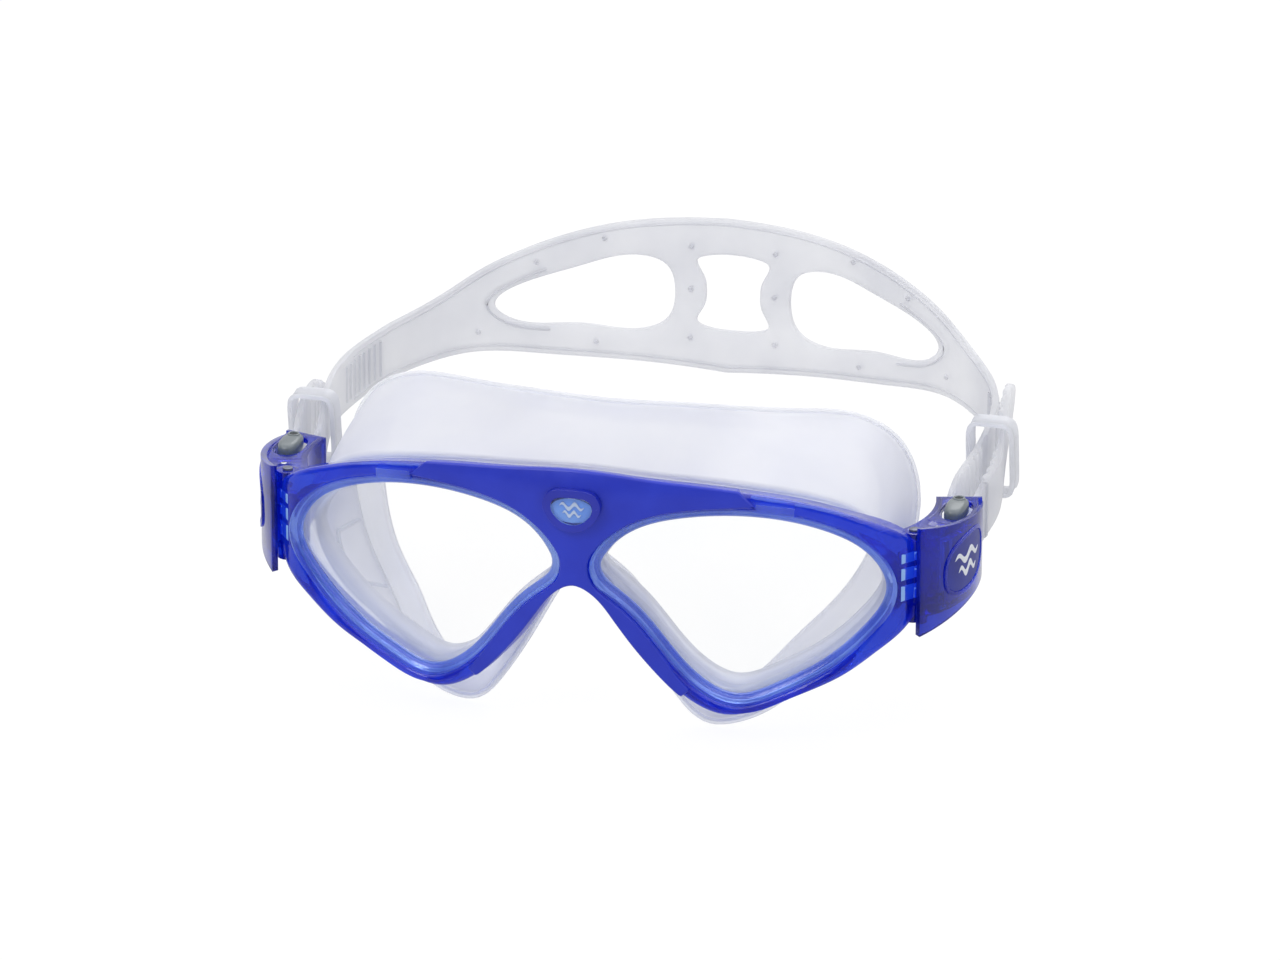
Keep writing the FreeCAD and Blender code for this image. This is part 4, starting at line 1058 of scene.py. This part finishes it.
def buckle_details(side, sign):
    def on_wall(depth):
        def place(u, v, w):
            radius = ARC_OUTER + depth + w
            turn = u / ARC_OUTER
            return np.stack([sign * (ARC_X + radius * np.cos(turn)), ARC_Y + radius * np.sin(turn), v], axis=1)
        return place
    turn = np.linspace(0, 2 * math.pi, 60, endpoint=False)
    centre_s, centre_z, half_s, half_z = -8.2, -17.0, 9.8, 6.4

    def oval(grow):
        power = 0.8
        c, s = np.cos(turn), np.sin(turn)
        u = centre_s + (half_s + grow) * np.sign(c) * np.abs(c) ** power
        v = centre_z + (half_z + grow) * np.sign(s) * np.abs(s) ** power + 0.08 * (u - centre_s)
        return np.stack([u, v], axis=1)
    cuts = np.arange(-19, 4, 1.0)
    body = "buckle_" + side
    rim = plate("buckle_oval_rim_" + side, [oval(0.9), oval(0)], -0.2, 0.35, 0.16, on_wall(0.0), cuts)
    finish_piece(rim, FRAME_BLUE, body, "buckle_plastic")
    inset = plate("buckle_oval_" + side, [oval(-0.1)], -0.2, 0.12, 0.08, on_wall(0.0), cuts)
    finish_piece(inset, DARK_BLUE, body, "buckle_plastic")
    low, high = (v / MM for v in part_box("release_lever_" + side))
    lever_x, lever_y = sign * 0.5 * (low.x + high.x), 0.5 * (low.y + high.y)
    sweep = np.linspace(-14.6, 14.6, 30)
    edge = np.vstack([arc_xy(39.9, sweep), arc_xy(30.9, sweep[::-1])])
    c, s = np.cos(turn), np.sin(turn)
    slot = np.stack([lever_x + 3.55 * np.sign(c) * np.abs(c) ** 0.75,
                     lever_y + 6.5 * np.sign(s) * np.abs(s) ** 0.75], axis=1)

    def on_top(u, v, w):
        return np.stack([sign * u, v, w], axis=1)
    cap = plate("buckle_cap_" + side, [edge, slot], -9.5, -7.9, 0.3, on_top, rounds=4)
    flat_faces(cap)
    finish_piece(cap, BUCKLE_BLUE, body, "buckle_plastic")
    marks = []
    for middle, wide in ((1.7, 13.0), (-1.7, 9.5)):
        loop = wave_band(wide, 2.0, 0.0) * np.array([1.0, 1.0]) + np.array([centre_s, centre_z + middle])
        marks.append(plate("mark", [loop], -0.1, 0.22, 0.05, on_wall(0.0), cuts))
    finish_piece(join("buckle_mark_" + side, marks), SILVER, body, "emblem_metal")


def lever(side, sign):
    """The grey release lever: a rounded head with an eye, on a hub with a tooth towards the strap."""
    low, high = (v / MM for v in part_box("release_lever_" + side))
    pin_low, pin_high = (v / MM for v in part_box("lever_pin_" + side))
    x, y = 0.5 * (pin_low.x + pin_high.x), 0.5 * (pin_low.y + pin_high.y)
    turn = np.linspace(0, 2 * math.pi, 48, endpoint=False)
    c, s = np.cos(turn), np.sin(turn)
    oval = np.stack([2.6 * np.sign(c) * np.abs(c) ** 0.75, 5.4 * np.sign(s) * np.abs(s) ** 0.75], axis=1)
    top, base = high.z - 2.0, high.z - 5.5

    def place(u, v, w):
        crown = 0.7 * np.cos(np.clip(v / 6.0, -1, 1) * math.pi / 2) * (w > 0.5 * (top + base))
        return np.stack([x + u, y + v, w + crown - 0.5], axis=1)
    parts = [plate("lever_head", [oval], base, top, 1.3, place, rounds=5)]
    parts.append(turned("lever_hub", x, y, [(0.8, low.z), (1.7, low.z), (1.7, base), (0.8, base)]))
    tooth = [(x - 1.2, y - 1.0), (x + 1.2, y - 1.0), (x + 0.7, y - 5.0), (x - 0.7, y - 5.0)]
    parts.append(block("lever_tooth", tooth, low.z + 1, base))
    ring_path = [(x + 1.25 * math.cos(t), y + 2.6 + 1.25 * math.sin(t), top + 0.05) for t in turn[::2]]
    parts.append(tube("lever_eye", ring_path, 0.34, 8, closed=True))
    finish_piece(join("lever_" + side + "_body", parts), LEVER_GREY, "lever_" + side, "lever_plastic",
                 "release_lever_" + side)
    # The eye's recess is a near-black disc laid on the head: painted shade, not a cut recess.
    dot = turned("lever_eye_" + side, x, y + 2.6, [(0.1, top + 0.1), (1.0, top + 0.1), (1.0, top - 0.6), (0.1, top - 0.6)])
    finish_piece(dot, PIT_SHADE, "lever_" + side, "lever_plastic")


def keeper(side, sign):
    """The clear loop that holds the free end against the strap: a rounded band that leans forward."""
    low, high = (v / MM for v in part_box("strap_keeper_" + side))
    centre = 0.5 * (low + high)
    half_x, half_z = 0.5 * (high.x - low.x) - 0.65, 0.5 * (high.z - low.z) - 0.65
    turn = np.linspace(0, 2 * math.pi, 72, endpoint=False)
    c, s = np.cos(turn), np.sin(turn)
    path = np.stack([half_x * np.sign(c) * np.abs(c) ** 0.32, half_z * np.sign(s) * np.abs(s) ** 0.32], axis=1)
    path = even(path, 0.8, closed=True)
    out = np.stack([np.roll(path, -1, axis=0)[:, 1] - np.roll(path, 1, axis=0)[:, 1],
                    np.roll(path, 1, axis=0)[:, 0] - np.roll(path, -1, axis=0)[:, 0]], axis=1)
    out /= np.linalg.norm(out, axis=1)[:, None]
    section = [(-0.5, -3.0), (-0.65, -2.6), (-0.65, 2.6), (-0.5, 3.0), (0.35, 3.0), (0.62, 2.7), (0.42, 2.2),
               (0.42, -2.2), (0.62, -2.7), (0.35, -3.0)]
    rows = []
    for point, side_out in zip(path, out):
        row = []
        for away, y in section:
            at = point + side_out * away
            row.append((centre.x + at[0], centre.y + y - 0.16 * at[1], centre.z + at[1]))
        rows.append(row)
    loop = grid("keeper_" + side + "_loop", rows, close_rows=True, close_columns=True)
    shade(loop, 50)
    finish_piece(loop, KEEPER_CLEAR, "keeper_" + side, "keeper_plastic", "strap_keeper_" + side)


# ---------------------------------------------------------------- build

hard_pieces()
frame_shell()
cover()
badge_mark()
skirt()
head_strap()
for side_word, side_sign in (("left", 1), ("right", -1)):
    strap_end(side_word, side_sign)
    buckle_details(side_word, side_sign)
    lever(side_word, side_sign)
    keeper(side_word, side_sign)
    ring(side_sign, side_word)


# ---------------------------------------------------------------- studio

AZIMUTH, ELEVATION = math.radians(15.2), math.radians(21.2)
CAMERA_AWAY = 1.9
SKY_SEEN = 1.06
SKY_LIGHT = 0.72
SKY_FRONT, SKY_BACK, SKY_ABOVE = 0.2, 1.0, 1.8


def studio():
    scene = bpy.context.scene
    scene.view_settings.view_transform = "Standard"
    world = bpy.data.worlds.new("studio")
    world.use_nodes = True
    tree = world.node_tree
    sky = tree.nodes["Background"]
    sky.inputs["Color"].default_value = (1, 1, 1, 1)
    seen = tree.nodes.new("ShaderNodeLightPath")
    sharp = tree.nodes.new("ShaderNodeMath")
    sharp.operation = "MAXIMUM"
    link(tree, seen.outputs["Is Glossy Ray"], sharp.inputs[0])
    link(tree, seen.outputs["Is Transmission Ray"], sharp.inputs[1])
    where = tree.nodes.new("ShaderNodeTexCoord")
    parts = tree.nodes.new("ShaderNodeSeparateXYZ")
    link(tree, where.outputs["Generated"], parts.inputs["Vector"])
    depth = tree.nodes.new("ShaderNodeMapRange")
    depth.inputs["From Min"].default_value = -0.35
    depth.inputs["From Max"].default_value = 0.3
    depth.inputs["To Min"].default_value = SKY_FRONT
    depth.inputs["To Max"].default_value = SKY_BACK
    link(tree, parts.outputs["Y"], depth.inputs["Value"])
    above = tree.nodes.new("ShaderNodeMapRange")
    above.inputs["From Min"].default_value = 0.5
    above.inputs["From Max"].default_value = 0.8
    above.inputs["To Max"].default_value = SKY_ABOVE
    link(tree, parts.outputs["Z"], above.inputs["Value"])
    both = tree.nodes.new("ShaderNodeMath")
    link(tree, depth.outputs["Result"], both.inputs[0])
    link(tree, above.outputs["Result"], both.inputs[1])
    rays = tree.nodes.new("ShaderNodeMix")
    link(tree, sharp.outputs["Value"], rays.inputs["Factor"])
    rays.inputs["A"].default_value = SKY_LIGHT
    link(tree, both.outputs["Value"], rays.inputs["B"])
    strength = tree.nodes.new("ShaderNodeMix")
    link(tree, seen.outputs["Is Camera Ray"], strength.inputs["Factor"])
    link(tree, rays.outputs["Result"], strength.inputs["A"])
    strength.inputs["B"].default_value = SKY_SEEN
    link(tree, strength.outputs["Result"], sky.inputs["Strength"])
    scene.world = world
    low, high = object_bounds()
    floor_z = low[2] - 0.0006
    mesh = bpy.data.meshes.new("floor")
    mesh.from_pydata([(-3, -3, floor_z), (3, -3, floor_z), (3, 3, floor_z), (-3, 3, floor_z)], [], [(0, 1, 2, 3)])
    floor = bpy.data.objects.new("floor", mesh)
    scene.collection.objects.link(floor)
    made, tree = nodes_of("floor_white")
    out = tree.nodes.new("ShaderNodeOutputMaterial")
    matt = tree.nodes.new("ShaderNodeBsdfDiffuse")
    matt.inputs["Color"].default_value = (0.9, 0.9, 0.9, 1)
    glow = tree.nodes.new("ShaderNodeEmission")
    seen = tree.nodes.new("ShaderNodeLightPath")
    link(tree, spread(tree, seen.outputs["Is Camera Ray"], SKY_LIGHT, SKY_SEEN), glow.inputs["Strength"])
    both = tree.nodes.new("ShaderNodeMixShader")
    both.inputs["Fac"].default_value = 0.85
    link(tree, matt.outputs["BSDF"], both.inputs[1])
    link(tree, glow.outputs["Emission"], both.inputs[2])
    link(tree, both.outputs["Shader"], out.inputs["Surface"])
    paint(floor, made)
    floor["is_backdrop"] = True
    for name, place, power, size in (("key", (-0.5, -0.7, 0.9), 3.2, 0.5), ("fill", (0.8, -0.5, 0.5), 1.2, 0.6),
                                     ("back", (0.1, 0.9, 0.7), 2.0, 0.6)):
        light = bpy.data.lights.new(name, "AREA")
        light.energy = power
        light.size = size
        lamp = bpy.data.objects.new(name, light)
        lamp.location = place
        lamp.rotation_euler = (Vector((0, 0.05, 0)) - Vector(place)).to_track_quat("-Z", "Y").to_euler()
        scene.collection.objects.link(lamp)
        lamp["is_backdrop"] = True


def camera():
    back = Vector((math.sin(AZIMUTH) * math.cos(ELEVATION), -math.cos(AZIMUTH) * math.cos(ELEVATION),
                   math.sin(ELEVATION)))
    data = bpy.data.cameras.new("camera")
    data.sensor_width = 36.0
    data.lens = 227.1
    data.shift_x = 0.0539
    data.shift_y = 0.025
    data.clip_end = 20.0
    shot = bpy.data.objects.new("camera", data)
    shot.location = back * CAMERA_AWAY
    shot.rotation_euler = (-back).to_track_quat("-Z", "Y").to_euler()
    bpy.context.scene.collection.objects.link(shot)
    bpy.context.scene.camera = shot


studio()
camera()
